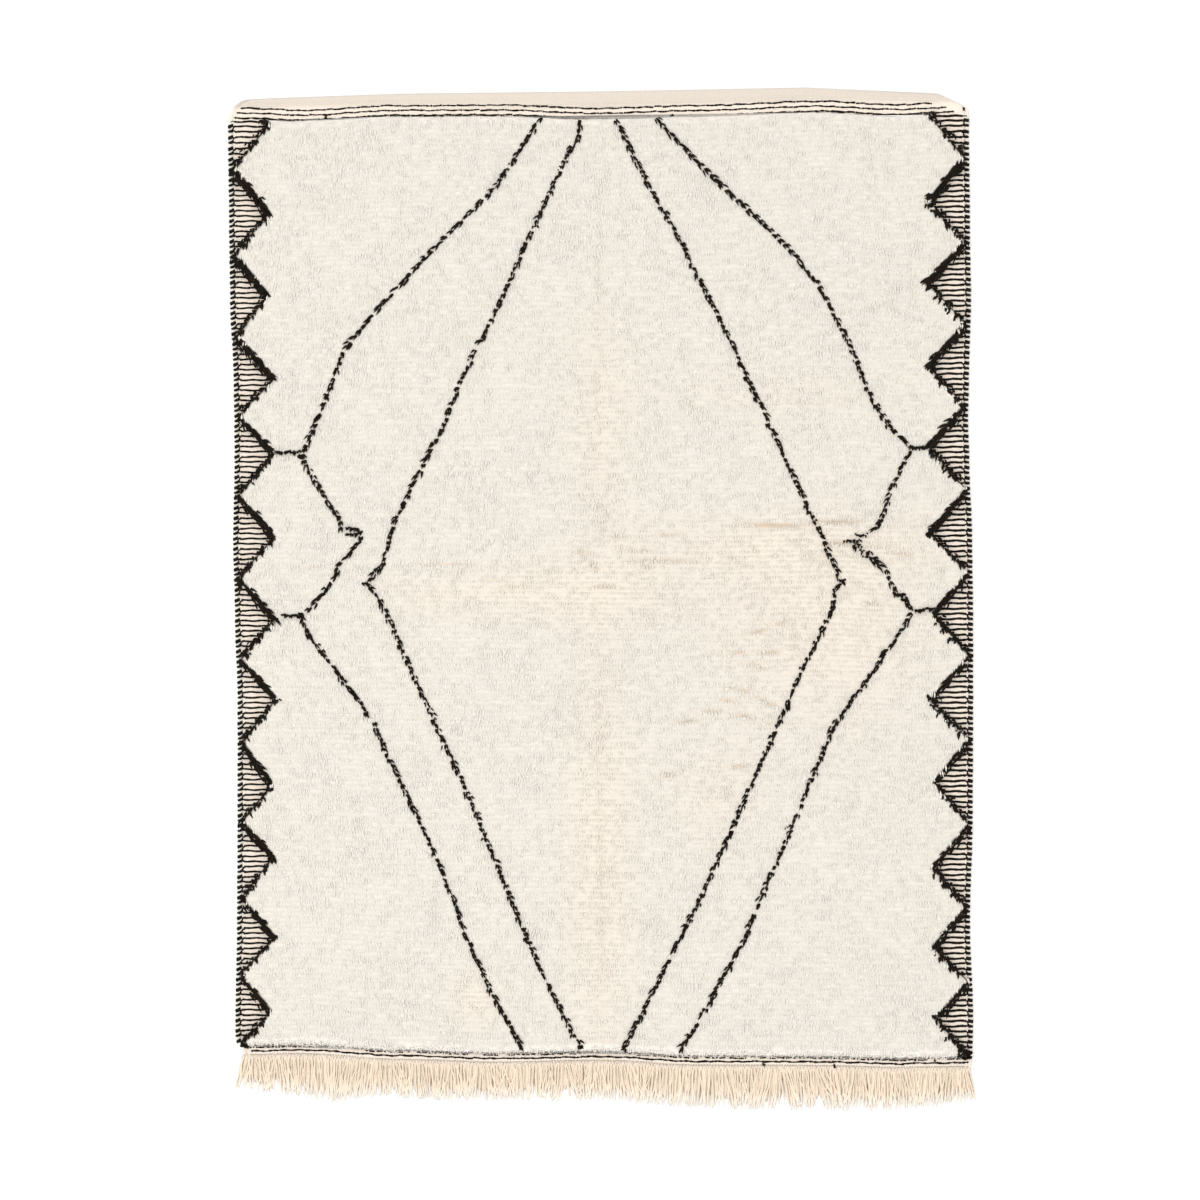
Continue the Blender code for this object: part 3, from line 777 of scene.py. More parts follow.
def rooted_knots(pile, random):
    """Where knots stand: their row, their place x, y, and their lean x, y, all a little uneven.

    They stand side by side in each row, wherever root and tip lie between the zigzag borders. The
    first rows lean less.
    """
    rows = np.arange(FIRST_ROW, LAST_ROW + 0.01)
    columns = np.arange(-BODY_HIGH.x, BODY_HIGH.x, pile.knot_pitch)
    row, x = np.meshgrid(rows, columns, indexing="ij")
    x = x + random.uniform(-0.5, 0.5, (len(rows), 1)) * pile.knot_pitch
    x = x + random.normal(0, 0.1, x.shape) * pile.knot_pitch
    raised = 0.35 * (1 - smooth(FIRST_ROW, FIRST_ROW + 3.0, row))
    y = row_y(x, row + raised + random.normal(0, 0.07, x.shape))
    growing = 0.2 + 0.8 * smooth(FIRST_ROW, FIRST_ROW + 2.5, row)
    lean_y = -pile.lean * random.uniform(0.85, 1.12, x.shape) * growing
    lean_x = random.normal(0, 0.0014, x.shape) + 0.0015 * np.sin(5 * x + 3 * y)

    charted = row_y(x, row)
    rooted = np.minimum(*border_gaps(x, charted - READ_BELOW)[:2]) > 0.0
    left, right, left_thick, right_thick = border_gaps(x, charted - pile.lean)
    on_thick = np.where(left < right, left_thick, right_thick)
    inside = rooted & (np.minimum(left, right) > np.where(on_thick, 0.0, -OVERHANG))
    return [values[inside] for values in (row, x, y, lean_x, lean_y)]


# The knots of the zigzags' flanks: which are of a thick and which of a thin one, which lie nearer
# to the right side, where roots and tips move to, how pointed they end, and the gap to the border.
Flanks = namedtuple("Flanks", "thick thin on_right at_root at_tip pointed edge")


def flank_knots(pile, charted, row, x, jitter, ragged):
    """Finds the flanks' knots, which are counted from the border, and share out a flank's width.

    A thick flank narrows where its triangle begins, and towards the fringe. Its knots slant with
    the border. A thin flank is one or two knots wide.
    """
    tip_y = charted - pile.lean
    at_tips, at_roots = border_gaps(x, tip_y), border_gaps(x, charted - READ_BELOW)
    at_rows = border_gaps(x, charted)
    at_root, at_tip = x.copy(), x.copy()
    thick, thin = np.zeros((2, len(x)), bool)
    depths = []
    for index, (side, edge) in enumerate(EDGES.items()):
        gap, root_gap, is_thick = at_tips[index], at_roots[index], at_tips[index + 2]
        depths.append(zigzag(tip_y, side)[0])
        width = pile.thick_flank * (NARROWEST + (1 - NARROWEST) * smooth(0.0, FULL_DEPTH, depths[-1]))
        width *= 1 - edge.slimmer * smooth(0.75, -0.2, charted)
        across = np.ceil(width / pile.knot_pitch - 0.15)
        chosen = is_thick & (gap < across * pile.knot_pitch)
        counted = (np.floor(gap / pile.knot_pitch) + 0.5) * width / across + ragged[row.astype(int)]
        moved = x + edge.inward * (counted - gap)
        slant = np.clip(edge.inward * (gap - at_rows[index]), -MOST_SLANT, MOST_SLANT)
        at_root, at_tip = np.where(chosen, moved + slant, at_root), np.where(chosen, moved, at_tip)
        thick |= chosen
        chosen = ~is_thick & (root_gap < pile.knot_pitch * np.where(charted < -0.895, 1.6, 1.4))
        counted = 0.36 + 0.5 * np.floor(root_gap / pile.knot_pitch)
        moved = x + edge.inward * (pile.thin_flank * edge.thin_share * counted - root_gap) + jitter
        at_root, at_tip = np.where(chosen, moved, at_root), np.where(chosen, moved, at_tip)
        thin |= chosen
    on_right = at_tips[1] < at_tips[0]
    pointed = thick * smooth(POINT_FROM, POINT_TO, np.where(on_right, depths[1], depths[0]))
    return Flanks(thick, thin, on_right, at_root, at_tip, pointed, np.minimum(*at_roots[:2]))


# A knot's parting value is how strongly its place is parted: it turns the knot's ivory locks to the root
# colour as painted shade, and leaves out its ivory locks where it reaches 0.6.
Knots = namedtuple("Knots", "root tip black shade warm wide droop")


def knots(pile):
    """Every knot of the pile: where it is tied, where its locks' tips lie, and of which wool.

    A tip lies a lean away towards the fringe, less beside a parting, and at the height of the pile
    there. What the pattern's chart gives is the place of the tips, because those are what shows.
    """
    random = np.random.default_rng(11)
    row, x, y, lean_x, lean_y = rooted_knots(pile, random)
    count = len(x)
    charted = row_y(x, row)
    jitter, chance = random.normal(0, 0.0008, count), random.uniform(0, 1, count)
    flanks = flank_knots(pile, charted, row, x, jitter, random.normal(0, 0.0019, ROWS))
    in_flank, thin_right = flanks.thick | flanks.thin, flanks.thin & flanks.on_right

    # Knots of a line are tied on it, one to a row where it is steep, and slant along it.
    middle = charted - pile.lean + 0.003
    away, level, foot, slope = to_lines(x, middle, pile.knot_pitch, ROW_PITCH)
    outermost = np.abs(x) > OUTERMOST
    covered = np.where((level > 0.98) & outermost, 1.0, 1.3 + 0.15 * level)
    lines = (away < covered) & ~in_flank
    drawn = lines & (level < LEVEL)
    twice = drawn[:-1] & drawn[1:] & (row[:-1] == row[1:]) & (foot[:-1] == foot[1:])
    nearer = away[:-1] < away[1:]
    lines[:-1] &= ~(twice & ~nearer)
    lines[1:] &= ~(twice & nearer)
    drawn &= lines
    across_line = lines & ~drawn
    y = y + np.where(across_line, 0.36 * lean_y, 0.0)
    y = y + np.where(thin_right, 0.008 * smooth(0.96, 1.0, charted), 0)
    kinds, leans = [across_line, flanks.thin, drawn], [LEVEL_LEAN, THIN_LEAN, STEEP_LEAN]
    lean_y *= np.select(kinds, leans, 1.0)
    off = x - foot - slope * middle
    at_root = np.where(drawn, foot + slope * y + off * LINE_LEAVES, flanks.at_root)
    at_tip = np.where(drawn, foot + slope * (y + lean_y) + off * LINE_LEAVES, flanks.at_tip)

    # The ivory knots beside a line leave it its room.
    beside = ~lines & ~in_flank & (level < LEVEL) & (away < 3.0)
    room = np.where(beside, np.sign(off) * np.clip(LINE_ROOM - np.abs(off), 0, LINE_ROOM), 0)
    at_root, at_tip = at_root + room, at_tip + room
    lean_x += at_tip - at_root + flanks.pointed * np.where(flanks.on_right, -POINTED, POINTED)
    lean_y -= flanks.pointed * POINTED
    kinds = [thin_right, across_line & outermost, across_line, in_flank]
    wide = np.select(kinds, SPREADS, 0.58 + 0.42 * level**2)

    height = pile.height + 0.0016 * lumps(at_root, y) + random.normal(0, 0.0005, count)
    height -= 0.004 * (1 - smooth(0, 0.014, flanks.edge))
    height -= 0.007 * (1 - smooth(FIRST_ROW - 0.5, FIRST_ROW + 1.2, row))
    height += np.select([across_line, drawn], [LEVEL_RISE, STEEP_RISE], 0.0)
    near, aside = parted(at_root, charted - pile.lean + 0.004)
    near *= random.uniform(0.6, 1.0, count)
    lean_x += aside * 0.004
    lean_y += near * 0.01
    height -= near * 0.002

    root = np.stack([at_root, y, np.full(count, PILE_FOOT)], axis=1)
    tip = np.stack([at_root + lean_x, y + lean_y, WEAVE_THICKNESS + height], axis=1)
    droop = 1 - smooth(FIRST_ROW + 0.5, FIRST_ROW + 2.2, row)
    black = in_flank | (lines & (chance > 0.01))
    return Knots(root, tip, black, random.uniform(0, 1, count), near, wide, droop)


def pile_bed():
    """The pile's closed body under its strands: rows of knots that overlap like thatch.

    Each row of knots is four cross-sections of the grid: the foot of its tips, the tips, and two
    back towards the row above, which covers them. Rows, knots and heights are a little uneven.
    """
    random = np.random.default_rng(7)
    steps = np.array((0.0, 0.1, 0.42, 0.76))  # rows up from the foot of a row's tips
    lifts = np.array((0.0, 0.001, 0.0008, 0.0004))
    whole = np.arange(FIRST_ROW + 0.15, LAST_ROW - 0.6)
    width, pitch = 1.4, 0.012
    middle = int(width / pitch)
    inset = np.array((0.0, 0.0025, 0.007, 0.014, 0.019))  # from the border, where the bed rounds off
    rise = np.array((0.0, 0.5, 0.84, 1.0, 1.0))
    share = np.hstack([0 * rise, (np.arange(middle) + 0.5) / middle, 0 * rise + 1])
    offset = np.hstack([inset, np.zeros(middle), -inset[::-1]])
    bulk = np.hstack([rise, np.ones(middle), rise[::-1]])
    size = (len(whole), 1, len(share))
    shift = np.clip(random.normal(0, 0.07, size), -0.11, 0.11)
    aside = random.normal(0, 0.0016, size) * (offset == 0) * (share > 0) * (share < 1)
    lift = random.normal(0, 0.0004, size)
    row = (whole[:, None, None] + steps[:, None] + shift).reshape(-1, len(share))
    aside, lift = (np.repeat(values, 4, axis=1).reshape(row.shape) for values in (aside, lift))
    y = row_y((share - 0.5) * width, row)
    left = border_x(y[:, :1], "left", PILE_INSET + 0.004)
    right = border_x(y[:, -1:], "right", PILE_INSET + 0.004)
    outer = (offset != 0) | (share == 0) | (share == 1)
    inner_left, inner_right = left + inset[-1], right - inset[-1]
    x = np.where(share < 0.5, left, right) + offset
    x = np.where(outer, x, inner_left + (inner_right - inner_left) * share) + aside
    y = row_y(x, row)
    ends = smooth(whole[0] - 0.4, whole[0] + 0.8, row) * smooth(LAST_ROW + 0.2, LAST_ROW - 0.8, row)
    lifts = np.tile(lifts, len(whole))[:, None]
    fold = parted(x, y)[0]
    z = PILE_FOOT + bulk * ends * (0.0168 + 0.0016 * lumps(x, y) + lift + lifts - 0.004 * fold)
    on_thick = np.where(share < 0.5, zigzag(y, "left")[1], zigzag(y, "right")[1])
    dark_width = np.where(on_thick, 0.015 - 0.006 * smooth(0.7, 0.0, y), 0.004)
    at_ends = smooth(whole[0] + 0.5, whole[0] + 2.5, row) * smooth(LAST_ROW, LAST_ROW - 2.0, row)
    # step carries the painted shade of the tip ridges, fold that of the partings, and low the painted light
    # at the pile's ends; dark is the black wool along the zigzags.
    values = {
        "dark": outer & (np.abs(offset) < dark_width), "step": lifts / 0.001, "fold": fold,
        "worn": worn(x, y), "low": 1 - at_ends,
    }
    beneath = [np.hstack([grid[:, -2:-1], grid[:, 1:2]]) for grid in (x, y)]
    return swept((x, y, z), (*beneath, np.full((len(x), 2), 0.003)), values)


# How the strands of a knot run: shares of its lean, heights in metres above the pile's foot, and
# shares of their width. The first and last points close them.
Strand = namedtuple("Strand", "lean rise width")
IVORY_STRAND = table(Strand, (0.2, 0.0142, 0.0), (0.68, 0.018, 1.0), (1.2, 0.015, 0.0))
BLACK_STRAND = table(
    Strand, (0.18, 0.011, 0.0), (0.48, 0.0178, 1.0), (0.78, 0.0192, 0.8), (1.1, 0.0174, 0.0),
)


def strands(tied, chosen, number, pile, seed, shape, width, spread_out, loose=1.0, roofed=False):
    """The chosen knots' strands, some to a knot, that bend over towards the fringe and droop.

    A strand is a closed tube of three sides through the points of its shape: root + lean (x, y),
    and height above the foot. One side lies on top, or, roofed, the top is a low ridge.
    """
    random = np.random.default_rng(seed)
    lean, rise, full = (column(shape, name) for name in Strand._fields)
    pick = np.repeat(np.flatnonzero(chosen), number)
    count = len(pick)
    place = np.tile(np.arange(number) - (number - 1) / 2, count // number)
    root, tip = tied.root[pick], tied.tip[pick]
    spread_out, loose, width = (np.broadcast_to(v, chosen.shape)[pick] for v in (spread_out, loose, width))
    aside = place * pile.knot_pitch / number * spread_out
    root[:, 0] += aside + random.normal(0, 0.0005, count)
    tip[:, 0] += aside + random.normal(0, 0.0018 * loose)
    tip[:, 1] += random.normal(0, 0.002 * loose)
    paths = np.empty((count, len(lean), 3))
    paths[..., :2] = root[:, None, :2] + (tip - root)[:, None, :2] * lean[:, None]
    lifted = tip[:, 2] - WEAVE_THICKNESS - pile.height + random.normal(0, 0.0007, count)
    paths[..., 2] = WEAVE_THICKNESS + rise + lifted[:, None] * (rise / rise.max())
    droop = tied.droop[pick][:, None]
    paths[:, 0, 2] -= 0.006 * droop[:, 0]
    paths[:, -1, 2] -= 0.0085 * droop[:, 0]
    full = width[:, None] * full[1:-1] * (1 + 0.35 * droop)
    across = full * random.uniform(0.8, 1.2, (count, 1)) / math.sqrt(3)
    high, turned = (0.35, math.pi / 2) if roofed else (0.7, -math.pi / 2)
    shade = np.clip(tied.shade[pick] * 0.5 + random.uniform(0, 0.5, count), 0, 1)
    # along and the parting value carry the locks' painted shade, droop their painted light.
    values = {
        "along": lean, "shade": shade[:, None], "warm": tied.warm[pick][:, None],
        "worn": worn(*root[:, :2].T)[:, None], "droop": droop,
    }
    return tubes(paths, across, across * high, 3, values, turned)


class RUG_OT_pile(bpy.types.Operator):
    """Knots the ivory pile, in bands from the fringe up"""

    bl_idname = "rug.pile"
    bl_label = "Ivory pile"

    def execute(self, context):
        scene = context.scene
        pile = scene.rug_pile
        tied = knots(pile)
        wool = ivory_wool(scene.rug_colours)
        made = pile_bed()
        upright = (0.2 + 0.4 * np.clip(made[2]["step"], 0, 1)) * (1 - made[2]["low"])
        piece = add_piece("pile_bed", made, bed_wool(scene.rug_colours), upright)
        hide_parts("rug_body")
        ivory = np.flatnonzero(~tied.black & (tied.warm < 0.6))
        bands = np.array_split(ivory[np.argsort(tied.root[ivory, 1], kind="stable")], 3)
        for number, band in enumerate(bands, 1):
            chosen = np.zeros(len(tied.black), bool)
            chosen[band] = True
            made = strands(
                tied, chosen, 3, pile, 100 + number, IVORY_STRAND, pile.strand_width, 1.15, roofed=True
            )
            upright = 0.78 - 0.7 * made[2]["droop"]
            piece = add_piece(f"ivory_pile_{number}", made, wool, upright)
            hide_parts("rug_body")
        return {"FINISHED"}


class RUG_OT_pattern(bpy.types.Operator):
    """Knots the black wool of the lozenge and the zigzags"""

    bl_idname = "rug.pattern"
    bl_label = "Black knots"

    def execute(self, context):
        scene = context.scene
        pile = scene.rug_pile
        tied = knots(pile)
        width = pile.strand_width * (0.75 + 0.6 * tied.wide)
        loose = np.where(tied.wide > 1.4, 1.0, 0.9 + tied.wide)  # the outermost ties lie straight
        made = strands(
            tied, tied.black, 5, pile, 200, BLACK_STRAND, width, np.minimum(tied.wide, 1.25), loose
        )
        add_piece("black_knots", made, black_wool(scene.rug_colours), 0.4)
        return {"FINISHED"}


# --- the ground weave ---------------------------------------------------------------------------
SELVEDGE_ROLLS = 0.015  # how far in the selvedge's two rolls of warps reach


def between_ends(x, share):
    """Heights on the cloth at places across it: a share of the way from the fringed to the turned end."""
    return fringed_edge(x) * (1 - share) + turned_edge(x) * share


def arch(gap, middle, radius):
    """Height of a half circle of radius 1 at a gap: sqrt(1 - ((gap - middle) / radius)^2)."""
    return np.sqrt(np.clip(1 - ((gap - middle) / radius) ** 2, 0, 1))


def rounded(gap, radius):
    """From 0 at an edge to 1 a radius in, along a quarter circle."""
    return arch(np.minimum(gap, radius), radius, radius)


def selvedge_height(gap):
    """Height of the two rolls of warps at a gap from the outer edge: half circles, side by side."""
    outer = arch(gap, 0.0042, 0.0042) * 0.004 + 0.003
    inner = arch(gap, 0.0115, 0.0036) * 0.003 + 0.0032
    return np.where(gap < 0.0083, outer, np.maximum(inner, WEAVE_THICKNESS - 0.0006))


def ground_mesh():
    """The closed sheet of the weave: its cross-section, carried from the fringed to the turned edge.

    Each row of the grid is one cross-section: up the left edge, over the top, down the right edge
    and back underneath. The top has a rib for each weft, b cos(2 pi row), two to a row of knots.
    """
    v = np.linspace(0, 1, (ROWS + 6) * 8)[:, None]
    selvedge = np.array((0.0, 0.0008, 0.004, 0.0075, 0.0083, 0.0115, SELVEDGE_ROLLS))
    weave = np.array((0.12, 0.35, 0.6, 0.85))
    pile = 0.01
    left, right = (side_edge(between_ends(edge.outer, v), side) for side, edge in EDGES.items())
    middle = between_ends(0.0, v)
    left_depth, right_depth = zigzag(middle, "left")[0], zigzag(middle, "right")[0]
    left_border, right_border = left + SELVEDGE_WIDTH + left_depth, right - SELVEDGE_WIDTH - right_depth
    x = np.hstack([
        left + selvedge,
        left + SELVEDGE_WIDTH + left_depth * weave,
        left_border + pile,
        left_border + (right_border - left_border) * np.array((0.2, 0.5, 0.8)),
        right_border - pile,
        right - SELVEDGE_WIDTH - right_depth * weave[::-1],
        right - selvedge[::-1],
    ])
    y = between_ends(x, v)
    gap = np.minimum(x - left, right - x)

    low_line, high_line = weft_lines(x)
    row = (y - low_line) / (high_line - low_line) * ROWS
    rib = np.cos(2 * math.pi * 2 * row) * (1 - 0.8 * smooth(ROWS + 0.4, ROWS + 0.8, row))
    on_selvedge = gap < SELVEDGE_ROLLS
    z = np.where(on_selvedge, selvedge_height(gap), WEAVE_THICKNESS - 0.0004)
    z = z + np.where(on_selvedge, 0.0003, 0.00045) * rib * (gap > 0.0005)
    z = z + smooth(ROWS + 0.7, ROWS + 1.3, row) * 0.002
    ends = rounded(turned_edge(x) - y, 0.0045) * (0.35 + 0.65 * rounded(y - fringed_edge(x), 0.0025))
    z = 0.0012 + (z - 0.0012) * ends

    under_x = left + (right - left) * np.array((0.97, 0.03))
    under = (under_x, between_ends(under_x, v), 0 * under_x)
    # The ribs' values paint shade into their hollows and light onto their crests; pale paints the weave
    # paler everywhere but the hem, as painted light against the pile's shade.
    return swept((x, y, z), under, {"relief": 0.5 + 0.5 * rib, "pale": smooth(ROWS + 0.5, ROWS - 0.3, row)})


class RUG_OT_ground(bpy.types.Operator):
    bl_idname = "rug.ground"
    bl_label = "Ground weave"

    def execute(self, context):
        scene = context.scene
        wool = ground_weave(scene.rug_colours, scene.rug_yarns.warp_pitch)
        piece = add_piece("ground_weave", ground_mesh(), wool)
        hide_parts("rug_body")
        return {"FINISHED"}


# --- wefts, selvedges and loose ends ------------------------------------------------------------
WEFT_LIFT = WEAVE_THICKNESS + 0.0002  # of the black wefts' middles, over the weave


def yarns(paths, radius, sides, random, reference=UP, flat=0.85, uneven=0.15):
    """Closed yarns along many paths of as many points, a little uneven in thickness."""
    count, stations = paths.shape[:2]
    radii = radius * random.uniform(1 - uneven, 1 + uneven, (count, stations - 2))
    values = {"along": np.linspace(0, 1, stations), "shade": random.uniform(0, 1, (count, 1))}
    return tubes(paths, radii, radii * flat, sides, values, reference=reference)


def woven(x_from, x_to, row, stations, warp_pitch, random, dip):
    """Wefts' paths along rows: they pass over and under the warps, lift + dip cos(pi x / pitch)."""
    s = np.concatenate([[0.0], np.linspace(0.008, 0.992, stations - 2), [1.0]])
    x = x_from[:, None] + (x_to - x_from)[:, None] * s
    phase = random.uniform(0, 2 * math.pi, (len(row), 1))
    y = row_y(x, row[:, None]) + 0.0006 * np.sin(x * 170 + phase) + 0.0004 * np.sin(x * 61 + 2 * phase)
    return np.stack([x, y, WEFT_LIFT + dip * np.cos(math.pi * x / warp_pitch + phase)], axis=-1)


# The black wefts of both ends: their row, how thick they are, how much of the row shows, from where
# to where they run, how long a weft shows before it dips under a warp, and the gap there.
Stripe = namedtuple("Stripe", "row thick shown x_from x_to longest gap")
STRIPES = table(
    Stripe,
    (ROWS, 0.8, 1.0, -0.755, 0.692, 0.05, 0.0014),
    (ROWS - 0.93, 0.8, 1.0, -0.763, 0.723, 0.05, 0.0014),
    (ROWS - 1.88, 0.88, 1.0, -0.769, 0.737, 0.055, 0.001),
    (ROWS - 2.66, 0.6, 0.3, -0.69, 0.68, 0.02, 0.004),
    (0.0, 0.88, 1.0, -0.7325, 0.768, 0.06, -0.001),
    (0.7, 0.76, 0.75, -0.736, 0.76, 0.024, 0.004),
)
# Where a black weft's end was tied in and sticks out: its place, which way it lies, and its length.
Tie = namedtuple("Tie", "x y degrees length")
TIES = table(
    Tie, (0.3391, -0.9708, -30, 0.008), (0.4873, -0.9745, -80, 0.0095), (0.5588, -0.9595, 20, 0.0075),
    (0.6557, -0.962, 60, 0.005), (0.697, -0.963, 75, 0.005), (0.61, -0.961, 0, 0.006),
    (-0.5765, 1.0099, 62, 0.01), (0.1475, 1.0134, 12, 0.0095), (0.7576, 1.027, 95, 0.0085),
)
# The rows of wefts in the triangles, which lie further apart at the turned end.
WEFT_ROWS = np.concatenate([np.arange(1.0, 175.0), (175.1, 176.2, 177.3, 178.4, 179.5, 180.5, 181.4)])


class RUG_OT_wefts(bpy.types.Operator):
    """Lays the black wefts of the side triangles and of both ends"""

    bl_idname = "rug.wefts"
    bl_label = "Black wefts"

    def execute(self, context):
        scene = context.scene
        radius, warp_pitch = scene.rug_yarns.weft / 2, scene.rug_yarns.warp_pitch
        random = np.random.default_rng(23)
        parts = []
        for side, thick, last_inner in (("left", 1.0, 180), ("right", 1.2, 175)):
            inward = EDGES[side].inward
            y = row_y(np.full(len(WEFT_ROWS), -0.75 * inward), WEFT_ROWS)
            depth = zigzag(y, side)[0] + 0.007
            beside = SELVEDGE_WIDTH - 0.002
            inner = side_edge(y, side) + inward * (beside + depth)
            outer = side_edge(y, side) + inward * np.where(WEFT_ROWS > last_inner, 0.003, beside)
            deep = depth > 0.009
            start, end = (outer, inner) if side == "left" else (inner, outer)
            paths = woven(start[deep], end[deep], WEFT_ROWS[deep], 20, warp_pitch, random, 0.0007)
            parts.append(yarns(paths, radius * thick, 4, random))
        for stripe in STRIPES:
            pieces = int((stripe.x_to - stripe.x_from) / stripe.longest * 3)
            cuts = stripe.x_from + np.cumsum(random.uniform(0.15, 1.0, pieces) * stripe.longest)
            cuts = np.concatenate([[stripe.x_from], cuts[cuts < stripe.x_to], [stripe.x_to]])
            starts, ends = cuts[:-1], cuts[1:] - random.uniform(0.2, 1.0, len(cuts) - 1) * stripe.gap
            kept = random.uniform(0, 1, len(starts)) < stripe.shown
            rows = stripe.row + random.uniform(-0.03, 0.03, kept.sum())
            paths = woven(starts[kept], ends[kept], rows, 14, warp_pitch, random, 0.0004)
            parts.append(yarns(paths, radius * stripe.thick, 4, random, uneven=0.4))
        tie_x, tie_y, degrees, length = (column(TIES, name)[:, None] for name in Tie._fields)
        s = np.linspace(-0.5, 0.5, 7)
        x = tie_x + length * s * np.cos(np.radians(degrees))
        y = tie_y + length * s * np.sin(np.radians(degrees)) + 0.0006 * np.cos(9 * s)
        paths = np.stack([x, y, 0 * x + WEFT_LIFT + 0.002], axis=-1)
        parts.append(yarns(paths, radius * 1.1, 5, random, uneven=0.3))
        add_piece("black_wefts", joined(parts), black_wool(scene.rug_colours))
        return {"FINISHED"}


# Yarns wrapped round a selvedge, seen from their row: metres in from the edge, rows up, and height.
Wrap = namedtuple("Wrap", "inward up height")
BLOB = table(
    Wrap, (0.0004, -0.14, 0.0025), (0.001, -0.12, 0.0056), (0.004, -0.04, 0.0074), (0.0075, 0.04, 0.007),
    (0.0098, 0.09, 0.0058), (0.0108, 0.1, 0.005),
)
DASH = table(
    Wrap, (0.0004, -0.04, 0.0025), (0.001, -0.03, 0.0056), (0.004, 0.01, 0.0074), (0.008, 0.05, 0.0066),
    (0.01, 0.14, 0.0062), (0.011, 0.2, 0.0058),
)
HOOK = table(
    Wrap, (0.0175, 0.0, 0.0052), (0.0145, 0.02, 0.0058), (0.0112, 0.12, 0.0066), (0.0098, 0.42, 0.007),
    (0.0112, 0.82, 0.0068), (0.0145, 0.98, 0.006), (0.0178, 1.0, 0.0052),
)
PALE = table(
    Wrap, (0.0003, -0.34, 0.002), (0.001, -0.3, 0.0052), (0.004, -0.1, 0.0074), (0.0078, 0.16, 0.0066),
    (0.0105, 0.34, 0.0056), (0.0118, 0.4, 0.0046),
)
PAIRS = np.concatenate([np.arange(1.0, 175.0, 2.0), (175.1, 177.3, 179.5)])  # of rows, hooked together


def wraps(shape, rows, side, random):
    """A wrap's path at each of the rows, on the left or the right selvedge."""
    inward, up, height = (column(shape, name) for name in Wrap._fields)
    if side == "right" and shape is not HOOK:
        up = up * 0.4
    at = rows[:, None] + up * random.uniform(0.85, 1.15, (len(rows), 1))
    y = row_y(np.full(at.shape, -0.76 * EDGES[side].inward), at)
    inward = inward * random.uniform(0.95, 1.05, (len(rows), 1))
    x = side_edge(y, side) + EDGES[side].inward * inward
    return np.stack([x, y, np.broadcast_to(height, at.shape)], axis=-1)


class RUG_OT_selvedges(bpy.types.Operator):
    """Wraps black and ivory yarn round the selvedges, and hooks the wefts together in pairs"""

    bl_idname = "rug.selvedges"
    bl_label = "Selvedge wraps"

    def execute(self, context):
        scene = context.scene
        wrap, weft = scene.rug_yarns.wrap / 2, scene.rug_yarns.weft / 2
        random = np.random.default_rng(31)
        along = (0.0, 1.0, 0.0)
        halves = np.concatenate([PAIRS + 0.5, PAIRS + 1.5])
        black, pale = [], []
        for side in EDGES:
            black.append(yarns(wraps(BLOB, PAIRS + 1, side, random), wrap * 1.1, 5, random, along, 1.9))
            black.append(yarns(wraps(DASH, PAIRS, side, random), weft * 1.1, 4, random, along, 1.25))
            black.append(yarns(wraps(HOOK, PAIRS, side, random), weft * 0.9, 4, random, UP, 1.0))
            pale.append(yarns(wraps(PALE, halves, side, random), wrap * 0.85, 5, random, along, 1.0))
        add_piece("black_wraps", joined(black), black_wool(scene.rug_colours))
        add_piece("ivory_wraps", joined(pale), ivory_yarn(scene.rug_colours))
        return {"FINISHED"}


# --- fringe -------------------------------------------------------------------------------------
FRINGE_FROM, FRINGE_TO = -0.749, 0.769


def laid_down(root, first_row, reach, s):
    """Warp ends' heights on the rug from a row to their reach past the cloth's edge, and both lines."""
    start, edge = row_y(root, first_row)[:, None], fringed_edge(root)[:, None]
    return start - (start - edge + reach[:, None]) * s, start, edge


def off_the_cloth(past):
    """From 1 on the cloth's edge to 0 on the floor, 12 mm past it."""
    return 1 - smooth(-0.002, 0.012, past)


